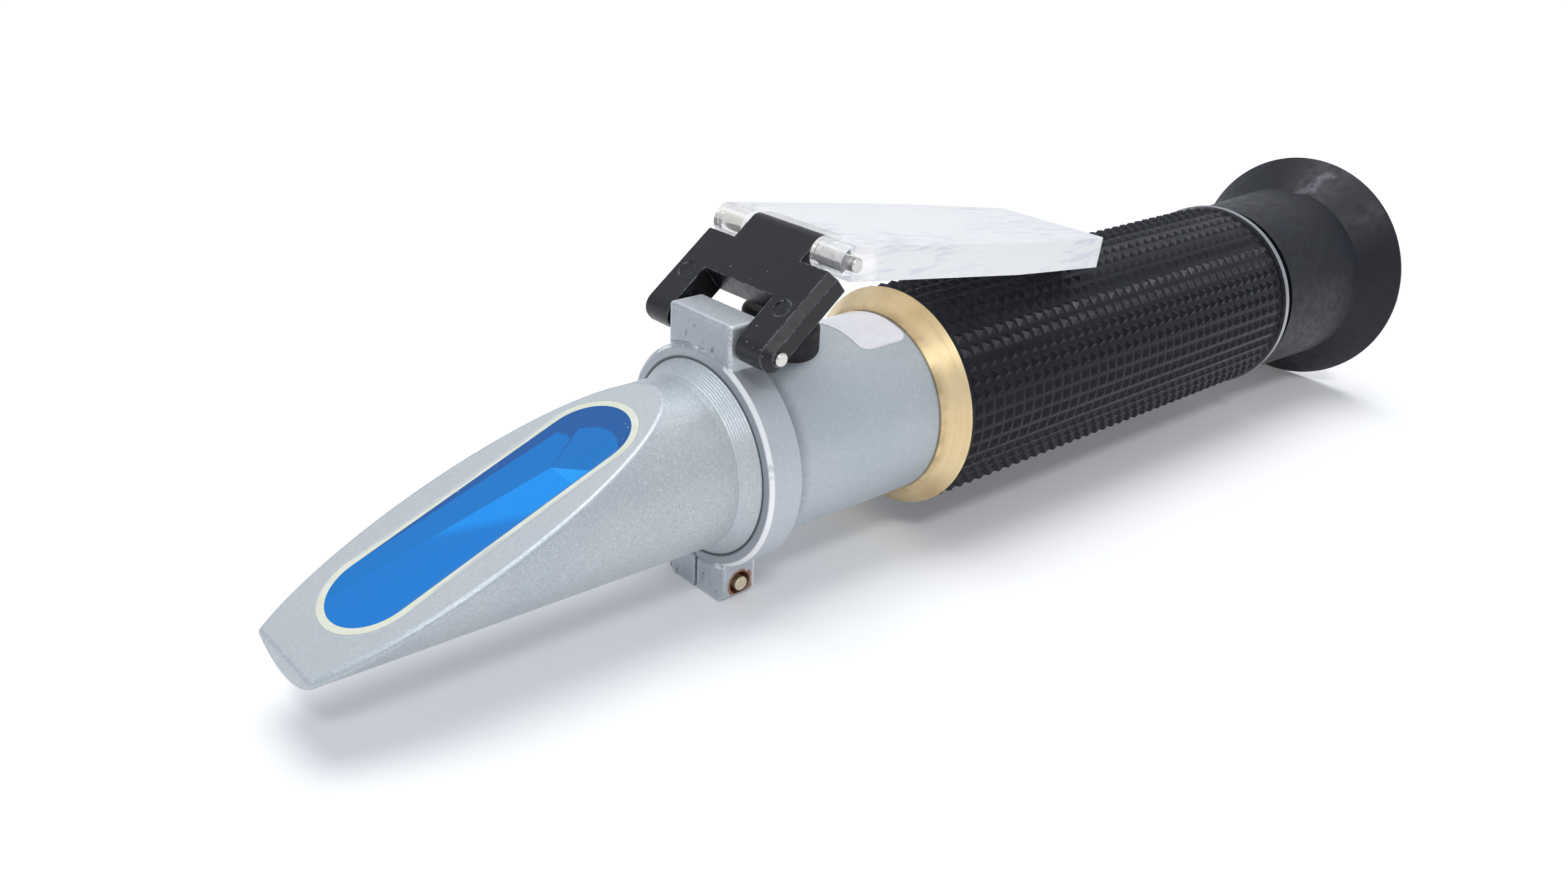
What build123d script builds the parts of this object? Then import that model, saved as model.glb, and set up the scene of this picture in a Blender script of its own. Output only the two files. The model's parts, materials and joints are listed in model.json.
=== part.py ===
"""Hand-held optical refractometer: prism end, hinged daylight plate, tube, grip and focusing eyepiece.

Millimetres, +Z up, +X from the prism tip to the eyepiece. The origin lies on the table under the middle
of the object's length. Stations along the optical axis are given as x behind the hinge collar's front
face, and heights and radii are counted from the optical axis.
"""

from build123d import *
from math import asin, atan2, cos, hypot, pi, radians, sin, sqrt
import os

os.makedirs("parts", exist_ok=True)

# Fits and running gaps
SEAT_GAP = 0.02
RUNNING_GAP = 0.05
OPEN_GAP = 0.3

# How far a cutting or overlapping shape runs past the solid that it meets
OVERRUN = 1.0

# Prism housing: a tapered round casting cut by the sloping sample face
FRONT_REACH = 52.2
HOUSING_TIP_R = 10.3
HOUSING_ROOT_R = 10.8
HOUSING_WALL = 1.3
TIP_WALL = 2.4
TIP_END_HEIGHT = 2.9
FACE_SETBACK = 6.34
FACE_WALL = 1.4
FACE_EDGE_R = 0.6
FLANGE_R = 12.3
FLANGE_CONE = 2.1
FLANGE_LAND = 1.0
SPIGOT_LENGTH = 7.0

# Prism, its sealed window and the cradle under it
WINDOW_HALF_WIDTH = 5.6
WINDOW_FRONT = 5.6
WINDOW_BACK = 4.92
SEALANT_WIDTH = 0.9
SEALANT_DEPTH = 1.1
PRISM_NECK = 2.0
PRISM_BOTTOM = 6.8
CRADLE_HALF_WIDTH = 5.0
CRADLE_LENGTH = 30.0
CRADLE_LIP = 1.6
CRADLE_LIP_THICKNESS = 1.2

# Hinge collar clamped round the front of the tube
COLLAR_LENGTH = 4.6
COLLAR_R = 14.1
COLLAR_FACE_R = 13.5
COLLAR_GROOVE_DEPTH = 0.45
HINGE_BLOCK_LENGTH = 5.0
HINGE_BLOCK_HALF_WIDTH = 5.8
HINGE_BLOCK_TOP = 18.4
HINGE_BLOCK_EDGE = 0.5
LUG_FRONT = 0.3
LUG_LENGTH = 4.9
LUG_HALF_WIDTH = 5.55
LUG_BOTTOM = 18.4
LUG_CHAMFER = 1.0
CLAMP_SLIT = 0.5

# Clamp screw across the lugs
CLAMP_SCREW_X = 2.9
CLAMP_SCREW_DROP = 16.1
CLAMP_SCREW_R = 0.95
CLAMP_SCREW_TIP = 5.95
CLAMP_HEAD_R = 1.8
CLAMP_HEAD_LENGTH = 1.2
CLAMP_NUT_HOLE_R = 1.55
CLAMP_NUT_HOLE_DEPTH = 2.2
SCREW_SLOT_WIDTH = 0.5
SCREW_SLOT_DEPTH = 0.5

# Hinge bracket: an H of black plastic leaning back from the block
BRACKET_PIN_X = 2.34
BRACKET_PIN_HEIGHT = 15.97
BRACKET_LEAN = 52.1
BRACKET_FRONT = 2.13
BRACKET_REAR = 1.9
BRACKET_HALF_WIDTH = 11.75
BRACKET_FOOT = 2.0
BRACKET_FOOT_ROUND = 1.85
SHOULDER_HEIGHT = 11.3
TONGUE_HALF_WIDTH = 5.95
TONGUE_ABOVE_PIN = 2.1
TONGUE_ROUND = 1.5
BLOCK_SLOT_HEIGHT = 5.97
BLOCK_SIDE_GAP = 0.57
BRACKET_CHAMFER = 1.0
MARK_R = 1.15
MARK_DEPTH = 0.12
MARK_HEIGHT = 4.9
MARK_OFFSET = 8.8
PIN_R = 0.85
PIN_PROUD = 0.48
PIN_CHAMFER = 0.15

# Cover plate of clear plastic on the bracket's second pin
COVER_PIN_HEIGHT = 14.18
COVER_PIN_FORWARD = 0.5
PLATE_LENGTH = 52.0
PLATE_THICKNESS = 4.2
PLATE_HALF_WIDTH = 11.5
PLATE_STRAIGHT = 31.0
PLATE_END_HALF_WIDTH = 9.4
PLATE_END_ROUND = 1.0
KNUCKLE_TONGUE_GAP = 0.3
NOTCH_DEPTH = 2.8

# Body tube
TUBE_R = 12.33
TUBE_BORE_R = 11.0

# Brass ferrule, grip and rear ring
FERRULE_FRONT = 30.15
FERRULE_LENGTH = 3.1
FERRULE_LIP = 0.25
FERRULE_SPIGOT_R = 13.4
FERRULE_SPIGOT_LENGTH = 3.8
GRIP_R = 15.15
GRIP_FLUTE_DEPTH = 0.6
GRIP_FLUTES = 47
GRIP_LENGTH = 77.25
GRIP_BAND = 1.1
GRIP_BAND_R = 14.75
REAR_RING_R = 15.3
REAR_RING_LENGTH = 1.2
REAR_RING_EDGE = 0.25

# Calibration screw with its bush, under a rubber cap
CALIBRATION_X = 12.5
CALIBRATION_SCREW_R = 1.25
CALIBRATION_HEAD_R = 1.9
CALIBRATION_HEAD_HEIGHT = 0.9
BUSH_R = 2.4
BUSH_FLANGE_R = 2.9
BUSH_ABOVE_TUBE = 0.9
BUSH_BELOW_BORE = 1.2
HEAD_CLEARANCE = 0.7
CAP_R = 5.1
CAP_NECK_R = 4.65
CAP_RIM_HEIGHT = 2.4
CAP_HEIGHT = 4.8
CAP_EDGE_R = 0.8
CAP_LEDGE_R = 0.4
CAP_ROOF = 1.2

# Objective: the lens cell that the calibration screw presses on
CELL_FRONT = 9.2
CELL_LENGTH = 7.0
CELL_R = 8.6
CELL_BORE_R = 7.2
CELL_PAD_HEIGHT = 8.3
OBJECTIVE_BULGE = 1.0
OBJECTIVE_EDGE = 2.2
OBJECTIVE_FRONT_RING = 1.5
STRIP_WIDTH = 5.0
STRIP_THICKNESS = 0.5
STRIP_LENGTH = 17.0
STRIP_SCREW_R = 0.7
STRIP_SCREW_HEAD_R = 1.2
STRIP_SCREW_HEAD_HEIGHT = 0.7
STRIP_SCREW_PITCH = 3.0
COMPENSATOR_FRONT = 22.0
COMPENSATOR_LENGTH = 5.5
COMPENSATOR_BORE_R = 7.6
STRIP_PLAY = 0.45

# Light baffle, reticle and its ring
BAFFLE_FRONT = 60.0
BAFFLE_LENGTH = 1.6
BAFFLE_BORE_R = 6.0
RETICLE_THICKNESS = 1.5
RETICLE_R = 9.2
RETICLE_BORE_R = 8.2
RETICLE_RING_LENGTH = 4.0

# Eyepiece barrel fixed in the rear of the tube
BARREL_SPIGOT = 12.5
BARREL_R = 11.8
BARREL_BORE_R = 9.8
BARREL_END_GAP = 0.6
KEYWAY_WIDTH = 1.8
KEYWAY_DEPTH = 0.9
FOCUS_LEAD = 8.0
FOCUS_IN_TURN = 45.0
FOCUS_OUT_TURN = 135.0
GUIDE_FROM_REAR = 13.9
GUIDE_R = 0.8
GUIDE_HEAD_R = 1.3
GUIDE_HEAD_LENGTH = 0.6
GUIDE_SLOT_GAP = 0.15

# Focus sleeve that turns on the barrel, and the lens carriage that it carries
SLEEVE_FRONT_GAP = 1.5
SLEEVE_R = 13.3
SLEEVE_LENGTH = 20.2
SLEEVE_WALL = 1.7
EYE_APERTURE_R = 7.6
CLIP_THICKNESS = 0.6
CLIP_BORE_R = 10.6
CLIP_GROOVE_DEPTH = 0.5
CARRIAGE_LENGTH = 14.8
CARRIAGE_BORE_R = 8.4
CARRIAGE_FLANGE_R = 11.5
CARRIAGE_FLANGE = 1.0
CARRIAGE_STOP = 1.0
KEY_LENGTH = 3.0
KEY_GAP = 0.1
EYE_LENS_EDGE = 1.6
EYE_LENS_BULGE = 1.3
LENS_SPACER = 4.6
FIELD_LENS_EDGE = 1.2
FIELD_LENS_BULGE = 1.2
RETAINER_LENGTH = 1.2
RING_WALL = 1.1

# Rubber eyecup
EYECUP_SETBACK = 0.5
EYECUP_FRONT_R = 14.6
EYECUP_NECK_R = 15.3
EYECUP_FLARE_SETBACK = 1.1
EYECUP_FLARE = 6.6
EYECUP_RIM_R = 20.0
EYECUP_RIM_WALL = 1.4
EYECUP_WEB = 1.4
EYECUP_CUP_R = 12.6
EYECUP_CUP_STEP = 0.8
EYECUP_RIM_LAND = 0.6
EYECUP_RIM_EDGE = 0.25

# Stations behind the collar's face
GRIP_FRONT = FERRULE_FRONT + FERRULE_LENGTH
GRIP_REAR = GRIP_FRONT + GRIP_LENGTH
RING_REAR = GRIP_REAR + REAR_RING_LENGTH
SLEEVE_FRONT = RING_REAR + SLEEVE_FRONT_GAP
SLEEVE_REAR = SLEEVE_FRONT + SLEEVE_LENGTH
EYECUP_FRONT = SLEEVE_FRONT + EYECUP_SETBACK
FLARE_FRONT = SLEEVE_REAR + EYECUP_FLARE_SETBACK
RIM_REAR = FLARE_FRONT + EYECUP_FLARE

# The object's frame: the table is at the eyecup's rim, the origin under the middle of the length
OVERALL_LENGTH = FRONT_REACH + RIM_REAR
COLLAR_X = FRONT_REACH - OVERALL_LENGTH / 2
AXIS_Z = EYECUP_RIM_R
SIDE = Plane(origin=(COLLAR_X, 0, AXIS_Z), x_dir=(1, 0, 0), z_dir=(0, -1, 0))
OPTICAL_AXIS = Axis((COLLAR_X, 0, AXIS_Z), (1, 0, 0))

# The sloping sample face, from its tip edge to its run-out on top of the taper; local x climbs the slope
TIP_Z = TIP_END_HEIGHT - HOUSING_TIP_R
face_run = FRONT_REACH - FACE_SETBACK
taper = (HOUSING_ROOT_R - HOUSING_TIP_R) / (FRONT_REACH - FLANGE_CONE)
face_rise = HOUSING_TIP_R + taper * face_run - TIP_Z
face_slope = atan2(face_rise, face_run)
window_length = hypot(face_run, face_rise) - WINDOW_FRONT - WINDOW_BACK
FACE = Plane(
    origin=(COLLAR_X - FRONT_REACH, 0, AXIS_Z + TIP_Z),
    x_dir=(cos(face_slope), 0, sin(face_slope)),
    z_dir=(-sin(face_slope), 0, cos(face_slope)),
)


def across(x):
    """The plane square to the optical axis at station x: local x is +Y and local y is up."""
    return Plane(origin=(COLLAR_X + x, 0, AXIS_Z), x_dir=(0, 1, 0), z_dir=(1, 0, 0))


def level(height, x=0.0):
    """The horizontal plane at a height over the optical axis, centred on station x."""
    return Plane(origin=(COLLAR_X + x, 0, AXIS_Z + height), x_dir=(1, 0, 0), z_dir=(0, 0, 1))


def turned(*outline, mode=Mode.ADD):
    """Revolves a closed outline of (station, radius) points about the optical axis."""
    with BuildSketch(SIDE) as profile:
        with BuildLine():
            Polyline(*outline, close=True)
        make_face()
    return revolve(profile.sketch, axis=OPTICAL_AXIS, mode=mode)


def tube(front, rear, outer, inner, mode=Mode.ADD):
    """A plain ring or tube between two stations."""
    return turned((front, inner), (front, outer), (rear, outer), (rear, inner), mode=mode)


def crown(bulge, radius, at):
    """How far a spherical lens face stands out from its rim plane at a given radius."""
    ball = (radius**2 + bulge**2) / (2 * bulge)
    return sqrt(ball**2 - at**2) - (ball - bulge)


def lens(front, edge, radius, front_bulge, rear_bulge):
    """A round lens; front and edge give its cylindrical rim, the bulges its spherical faces."""
    rear = front + edge
    half_r = radius / 2
    with BuildSketch(SIDE) as profile:
        with BuildLine():
            ThreePointArc(
                (front, radius),
                (front - crown(front_bulge, radius, half_r), half_r),
                (front - front_bulge, 0),
            )
            Line((front - front_bulge, 0), (rear + rear_bulge, 0))
            if rear_bulge > 0:
                ThreePointArc(
                    (rear + rear_bulge, 0),
                    (rear + crown(rear_bulge, radius, half_r), half_r),
                    (rear, radius),
                )
            else:
                Line((rear, 0), (rear, radius))
            Line((rear, radius), (front, radius))
        make_face()
    return revolve(profile.sketch, axis=OPTICAL_AXIS)


def window_outline(grow):
    """The window's round-ended outline on the sample face, grown evenly."""
    middle = WINDOW_FRONT + window_length / 2
    straight = window_length - 2 * WINDOW_HALF_WIDTH
    with BuildSketch(FACE) as outline:
        with Locations((middle, 0)):
            SlotCenterToCenter(straight, 2 * (WINDOW_HALF_WIDTH + grow))
    return outline.sketch


def save(piece, name):
    """Labels one finished piece and writes it to its own file."""
    piece.label = name
    export_step(piece, "parts/" + name + ".step")


# Prism housing
spigot_r = TUBE_BORE_R - SEAT_GAP
spigot_rear = FLANGE_LAND + SPIGOT_LENGTH
tip_bore_r = HOUSING_TIP_R - HOUSING_WALL
root_bore_r = HOUSING_ROOT_R - HOUSING_WALL
cavity_front = -FRONT_REACH + TIP_WALL

with BuildPart() as housing_cavity:
    turned(
        (cavity_front, 0),
        (cavity_front, tip_bore_r),
        (-FLANGE_CONE, root_bore_r),
        (spigot_rear, root_bore_r),
        (spigot_rear, 0),
    )
    split(bisect_by=FACE.offset(-FACE_WALL), keep=Keep.BOTTOM)

with BuildPart() as prism_housing:
    turned(
        (-FRONT_REACH, 0),
        (-FRONT_REACH, HOUSING_TIP_R),
        (-FLANGE_CONE, HOUSING_ROOT_R),
        (0, FLANGE_R),
        (FLANGE_LAND, FLANGE_R),
        (FLANGE_LAND, spigot_r),
        (spigot_rear, spigot_r),
        (spigot_rear, 0),
    )
    split(bisect_by=FACE, keep=Keep.BOTTOM)
    sample_face = prism_housing.faces().filter_by(FACE).sort_by(SortBy.AREA)[-1]
    tip_arc = prism_housing.faces().sort_by(Axis.X)[0].edges().sort_by(Axis.Z)[0]
    fillet(sample_face.edges() + [tip_arc], FACE_EDGE_R)
    add(housing_cavity.part, mode=Mode.SUBTRACT)
    extrude(window_outline(SEALANT_WIDTH), amount=-2 * FACE_WALL, mode=Mode.SUBTRACT)
save(prism_housing.part, "prism_housing")

# Prism: a round-ended neck in the window over a right-angled body with an upright exit face
slope_dir = (cos(face_slope), sin(face_slope))
into_face = (sin(face_slope), -cos(face_slope))


def under_face(along, depth):
    """Side-plane point at a distance up the slope and a depth under the sample face."""
    x = -FRONT_REACH + along * slope_dir[0] + depth * into_face[0]
    z = TIP_Z + along * slope_dir[1] + depth * into_face[1]
    return (x, z)


window_top = WINDOW_FRONT + window_length
prism_heel = under_face(window_top, PRISM_NECK)
prism_toe_along = (-PRISM_BOTTOM - TIP_Z - PRISM_NECK * into_face[1]) / slope_dir[1]
prism_toe = under_face(prism_toe_along, PRISM_NECK)
prism_side = WINDOW_HALF_WIDTH - SEAT_GAP

with BuildPart() as main_prism:
    extrude(window_outline(-SEAT_GAP), amount=-(PRISM_NECK + SEAT_GAP))
    with BuildSketch(SIDE):
        with BuildLine():
            Polyline(prism_toe, prism_heel, (prism_heel[0], -PRISM_BOTTOM), close=True)
        make_face()
    extrude(amount=prism_side, both=True)
save(main_prism.part, "main_prism")

with BuildPart() as prism_sealant:
    extrude(window_outline(SEALANT_WIDTH - SEAT_GAP), amount=-SEALANT_DEPTH)
    extrude(window_outline(0), amount=-SEALANT_DEPTH, mode=Mode.SUBTRACT)
save(prism_sealant.part, "prism_sealant")

# Cradle: a saddle under the prism with a lip behind its exit face
cradle_rear = prism_heel[0] + SEAT_GAP
cradle_top = -PRISM_BOTTOM - SEAT_GAP

with BuildPart() as prism_cradle:
    with BuildSketch(SIDE):
        with BuildLine():
            Polyline(
                (cradle_rear - CRADLE_LENGTH, cradle_top),
                (cradle_rear, cradle_top),
                (cradle_rear, cradle_top + CRADLE_LIP),
                (cradle_rear + CRADLE_LIP_THICKNESS, cradle_top + CRADLE_LIP),
                (cradle_rear + CRADLE_LIP_THICKNESS, -HOUSING_ROOT_R),
                (cradle_rear - CRADLE_LENGTH, -HOUSING_ROOT_R),
                close=True,
            )
        make_face()
    extrude(amount=CRADLE_HALF_WIDTH, both=True)
    turned(
        (cavity_front, 0),
        (cavity_front, tip_bore_r - SEAT_GAP),
        (-FLANGE_CONE, root_bore_r - SEAT_GAP),
        (-FLANGE_CONE, 0),
        mode=Mode.INTERSECT,
    )
save(prism_cradle.part, "prism_cradle")

# Hinge collar: ring, hinge block above and slit clamp lugs below
collar_bore_r = TUBE_R + SEAT_GAP

with BuildPart() as hinge_collar:
    with BuildSketch(SIDE):
        with Locations((HINGE_BLOCK_LENGTH / 2, (COLLAR_FACE_R + HINGE_BLOCK_TOP) / 2)):
            Rectangle(HINGE_BLOCK_LENGTH, HINGE_BLOCK_TOP - COLLAR_FACE_R + 2 * OVERRUN)
    extrude(amount=HINGE_BLOCK_HALF_WIDTH, both=True)
    split(bisect_by=level(HINGE_BLOCK_TOP), keep=Keep.BOTTOM)
    fillet(hinge_collar.edges().filter_by(Axis.Z), HINGE_BLOCK_EDGE)
    fillet(hinge_collar.faces().sort_by(Axis.Z)[-1].edges(), HINGE_BLOCK_EDGE)
    with BuildSketch(across(LUG_FRONT)):
        with Locations((0, -(COLLAR_FACE_R + LUG_BOTTOM) / 2)):
            Rectangle(2 * LUG_HALF_WIDTH, LUG_BOTTOM - COLLAR_FACE_R + 2 * OVERRUN)
    extrude(amount=LUG_LENGTH)
    split(bisect_by=level(-LUG_BOTTOM), keep=Keep.TOP)
    lug_corners = hinge_collar.edges().filter_by(Axis.X).group_by(Axis.Z)[0]
    chamfer(lug_corners, LUG_CHAMFER)
    tube(0, COLLAR_LENGTH, COLLAR_R, TUBE_R - COLLAR_GROOVE_DEPTH)
    tube(-OVERRUN, LUG_LENGTH + OVERRUN, collar_bore_r, 0, mode=Mode.SUBTRACT)
    turned(
        (-COLLAR_GROOVE_DEPTH, COLLAR_FACE_R),
        (0, COLLAR_FACE_R),
        (COLLAR_GROOVE_DEPTH, COLLAR_R),
        (-COLLAR_GROOVE_DEPTH, COLLAR_R + COLLAR_GROOVE_DEPTH),
        mode=Mode.SUBTRACT,
    )
    with BuildSketch(across(-OVERRUN)):
        with Locations((0, -LUG_BOTTOM)):
            Rectangle(CLAMP_SLIT, 2 * (LUG_BOTTOM - TUBE_R + OVERRUN))
    extrude(amount=LUG_FRONT + LUG_LENGTH + 2 * OVERRUN, mode=Mode.SUBTRACT)
    with BuildSketch(SIDE):
        with Locations((BRACKET_PIN_X, BRACKET_PIN_HEIGHT)):
            Circle(PIN_R + SEAT_GAP)
        with Locations((CLAMP_SCREW_X, -CLAMP_SCREW_DROP)):
            Circle(CLAMP_SCREW_R + SEAT_GAP)
    extrude(amount=2 * LUG_HALF_WIDTH, both=True, mode=Mode.SUBTRACT)
    with BuildSketch(SIDE.offset(LUG_HALF_WIDTH)):
        with Locations((CLAMP_SCREW_X, -CLAMP_SCREW_DROP)):
            Circle(CLAMP_NUT_HOLE_R)
    extrude(amount=-CLAMP_NUT_HOLE_DEPTH, mode=Mode.SUBTRACT)
save(hinge_collar.part, "hinge_collar")

# Clamp screw: its slotted head bears on the far lug, its tip shows in the near one
with BuildPart() as clamp_screw:
    with BuildSketch(SIDE.offset(-LUG_HALF_WIDTH)):
        with Locations((CLAMP_SCREW_X, -CLAMP_SCREW_DROP)):
            Circle(CLAMP_SCREW_R)
    extrude(amount=LUG_HALF_WIDTH + CLAMP_SCREW_TIP)
    chamfer(clamp_screw.edges().sort_by(Axis.Y)[0], PIN_CHAMFER)
    with BuildSketch(SIDE.offset(-LUG_HALF_WIDTH)):
        with Locations((CLAMP_SCREW_X, -CLAMP_SCREW_DROP)):
            Circle(CLAMP_HEAD_R)
    extrude(amount=-CLAMP_HEAD_LENGTH)
    fillet(clamp_screw.edges().sort_by(Axis.Y)[-1], PIN_CHAMFER)
    with BuildSketch(SIDE.offset(-LUG_HALF_WIDTH - CLAMP_HEAD_LENGTH)):
        with Locations((CLAMP_SCREW_X, -CLAMP_SCREW_DROP)):
            Rectangle(SCREW_SLOT_WIDTH, 2 * (CLAMP_HEAD_R + OVERRUN))
    extrude(amount=SCREW_SLOT_DEPTH, mode=Mode.SUBTRACT)
save(clamp_screw.part, "clamp_screw")

# Hinge bracket, drawn on the plane through its first pin: local x is +Y, local y runs up the bracket
lean = radians(BRACKET_LEAN)
bracket_up = (sin(lean), cos(lean))
BRACKET = Plane(
    origin=(COLLAR_X + BRACKET_PIN_X, 0, AXIS_Z + BRACKET_PIN_HEIGHT),
    x_dir=(0, 1, 0),
    z_dir=(cos(lean), 0, -sin(lean)),
)
block_slot_half_width = HINGE_BLOCK_HALF_WIDTH + BLOCK_SIDE_GAP
tongue_top = COVER_PIN_HEIGHT + TONGUE_ABOVE_PIN
cover_pin_x = BRACKET_PIN_X + COVER_PIN_HEIGHT * bracket_up[0] - COVER_PIN_FORWARD * bracket_up[1]
cover_pin_height = BRACKET_PIN_HEIGHT + COVER_PIN_HEIGHT * bracket_up[1] + COVER_PIN_FORWARD * bracket_up[0]

with BuildPart() as hinge_bracket:
    with BuildSketch(BRACKET.offset(-BRACKET_FRONT)):
        with BuildLine():
            Polyline(
                (block_slot_half_width, -BRACKET_FOOT),
                (BRACKET_HALF_WIDTH, -BRACKET_FOOT),
                (BRACKET_HALF_WIDTH, SHOULDER_HEIGHT),
                (TONGUE_HALF_WIDTH, SHOULDER_HEIGHT),
                (TONGUE_HALF_WIDTH, tongue_top),
                (-TONGUE_HALF_WIDTH, tongue_top),
                (-TONGUE_HALF_WIDTH, SHOULDER_HEIGHT),
                (-BRACKET_HALF_WIDTH, SHOULDER_HEIGHT),
                (-BRACKET_HALF_WIDTH, -BRACKET_FOOT),
                (-block_slot_half_width, -BRACKET_FOOT),
                (-block_slot_half_width, BLOCK_SLOT_HEIGHT),
                (block_slot_half_width, BLOCK_SLOT_HEIGHT),
                close=True,
            )
        make_face()
    extrude(amount=BRACKET_FRONT + BRACKET_REAR)
    cross_edges = hinge_bracket.edges().filter_by(Axis.Y)
    along_bracket = Axis(BRACKET.origin, BRACKET.y_dir)
    fillet(cross_edges.group_by(along_bracket)[0], BRACKET_FOOT_ROUND)
    cross_edges = hinge_bracket.edges().filter_by(Axis.Y)
    fillet(cross_edges.group_by(along_bracket)[-1], TONGUE_ROUND)
    side_edges = hinge_bracket.edges().filter_by(along_bracket)
    chamfer(side_edges.group_by(Axis.Y)[0] + side_edges.group_by(Axis.Y)[-1], BRACKET_CHAMFER)
    with BuildSketch(SIDE):
        with Locations((BRACKET_PIN_X, BRACKET_PIN_HEIGHT)):
            Circle(PIN_R + RUNNING_GAP)
        with Locations((cover_pin_x, cover_pin_height)):
            Circle(PIN_R + SEAT_GAP)
    extrude(amount=2 * BRACKET_HALF_WIDTH, both=True, mode=Mode.SUBTRACT)
    with BuildSketch(BRACKET.offset(-BRACKET_FRONT)):
        with Locations((-MARK_OFFSET, MARK_HEIGHT), (MARK_OFFSET, MARK_HEIGHT)):
            Circle(MARK_R)
    extrude(amount=MARK_DEPTH, mode=Mode.SUBTRACT)
save(hinge_bracket.part, "hinge_bracket")


def cross_pin(x, height, half_length):
    """A plain steel pin along Y with chamfered ends."""
    with BuildSketch(SIDE) as section:
        with Locations((x, height)):
            Circle(PIN_R)
    extrude(section.sketch, amount=half_length, both=True)


pin_half_length = BRACKET_HALF_WIDTH + PIN_PROUD

with BuildPart() as bracket_pin:
    cross_pin(BRACKET_PIN_X, BRACKET_PIN_HEIGHT, pin_half_length)
    chamfer(bracket_pin.edges().filter_by(GeomType.CIRCLE), PIN_CHAMFER)
save(bracket_pin.part, "bracket_pin")

with BuildPart() as cover_pin:
    cross_pin(cover_pin_x, cover_pin_height, pin_half_length)
    chamfer(cover_pin.edges().filter_by(GeomType.CIRCLE), PIN_CHAMFER)
save(cover_pin.part, "cover_pin")

# Cover plate: folded back, its far lower edge lies just over the top of the grip
drop_to_grip = cover_pin_height - GRIP_R - OPEN_GAP
half_plate = PLATE_THICKNESS / 2
plate_droop = asin(drop_to_grip / hypot(PLATE_LENGTH, half_plate)) - atan2(half_plate, PLATE_LENGTH)
PLATE = Plane(
    origin=(COLLAR_X + cover_pin_x, 0, AXIS_Z + cover_pin_height),
    x_dir=(cos(plate_droop), 0, -sin(plate_droop)),
    z_dir=(sin(plate_droop), 0, cos(plate_droop)),
)
notch_half_width = TONGUE_HALF_WIDTH + KNUCKLE_TONGUE_GAP

with BuildPart() as cover_plate:
    with BuildSketch(PLATE.offset(-half_plate)):
        with BuildLine():
            Polyline(
                (0, -PLATE_HALF_WIDTH),
                (PLATE_STRAIGHT, -PLATE_HALF_WIDTH),
                (PLATE_LENGTH, -PLATE_END_HALF_WIDTH),
                (PLATE_LENGTH, PLATE_END_HALF_WIDTH),
                (PLATE_STRAIGHT, PLATE_HALF_WIDTH),
                (0, PLATE_HALF_WIDTH),
                close=True,
            )
        make_face()
    extrude(amount=PLATE_THICKNESS)
    plate_corners = cover_plate.edges().filter_by(Axis(PLATE.origin, PLATE.z_dir))
    fillet(plate_corners.sort_by(Axis.X)[-2:], PLATE_END_ROUND)
    with BuildSketch(SIDE):
        with Locations((cover_pin_x, cover_pin_height)):
            Circle(half_plate)
    extrude(amount=PLATE_HALF_WIDTH, both=True)
    with BuildSketch(PLATE.offset(-PLATE_THICKNESS)):
        Rectangle(2 * NOTCH_DEPTH, 2 * notch_half_width)
    extrude(amount=2 * PLATE_THICKNESS, mode=Mode.SUBTRACT)
    with BuildSketch(SIDE):
        with Locations((cover_pin_x, cover_pin_height)):
            Circle(PIN_R + RUNNING_GAP)
    extrude(amount=2 * PLATE_HALF_WIDTH, both=True, mode=Mode.SUBTRACT)
save(cover_plate.part, "cover_plate")

# Body tube with the hole for the calibration bush
with BuildPart() as body_tube:
    tube(FLANGE_LAND, GRIP_REAR, TUBE_R, TUBE_BORE_R)
    with BuildSketch(level(0, CALIBRATION_X)):
        Circle(BUSH_R + SEAT_GAP)
    extrude(amount=2 * TUBE_R, mode=Mode.SUBTRACT)
save(body_tube.part, "body_tube")

# Brass ferrule, fluted grip and bare rear ring
tube_seat_r = TUBE_R + SEAT_GAP

with BuildPart() as brass_ferrule:
    turned(
        (FERRULE_FRONT, tube_seat_r),
        (FERRULE_FRONT, TUBE_R + FERRULE_LIP),
        (GRIP_FRONT, GRIP_R),
        (GRIP_FRONT, FERRULE_SPIGOT_R),
        (GRIP_FRONT + FERRULE_SPIGOT_LENGTH, FERRULE_SPIGOT_R),
        (GRIP_FRONT + FERRULE_SPIGOT_LENGTH, tube_seat_r),
    )
save(brass_ferrule.part, "brass_ferrule")


def fluted_outline():
    """The grip's cross-section points: ridges and valleys in turn round the optical axis."""
    points = []
    for step in range(2 * GRIP_FLUTES):
        angle = pi * step / GRIP_FLUTES
        radius = GRIP_R - GRIP_FLUTE_DEPTH * (step % 2)
        points.append((radius * sin(angle), radius * cos(angle)))
    return points


with BuildPart() as grip_sleeve:
    with BuildSketch(across(GRIP_FRONT + GRIP_BAND)):
        with BuildLine():
            Polyline(*fluted_outline(), close=True)
        make_face()
    extrude(amount=GRIP_LENGTH - 2 * GRIP_BAND)
    for band_front in (GRIP_FRONT, GRIP_REAR - GRIP_BAND):
        tube(band_front, band_front + GRIP_BAND, GRIP_BAND_R, 0)
    turned(
        (GRIP_FRONT, 0),
        (GRIP_FRONT, FERRULE_SPIGOT_R + SEAT_GAP),
        (GRIP_FRONT + FERRULE_SPIGOT_LENGTH, FERRULE_SPIGOT_R + SEAT_GAP),
        (GRIP_FRONT + FERRULE_SPIGOT_LENGTH, tube_seat_r),
        (GRIP_REAR, tube_seat_r),
        (GRIP_REAR, 0),
        mode=Mode.SUBTRACT,
    )
save(grip_sleeve.part, "grip_sleeve")

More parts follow.
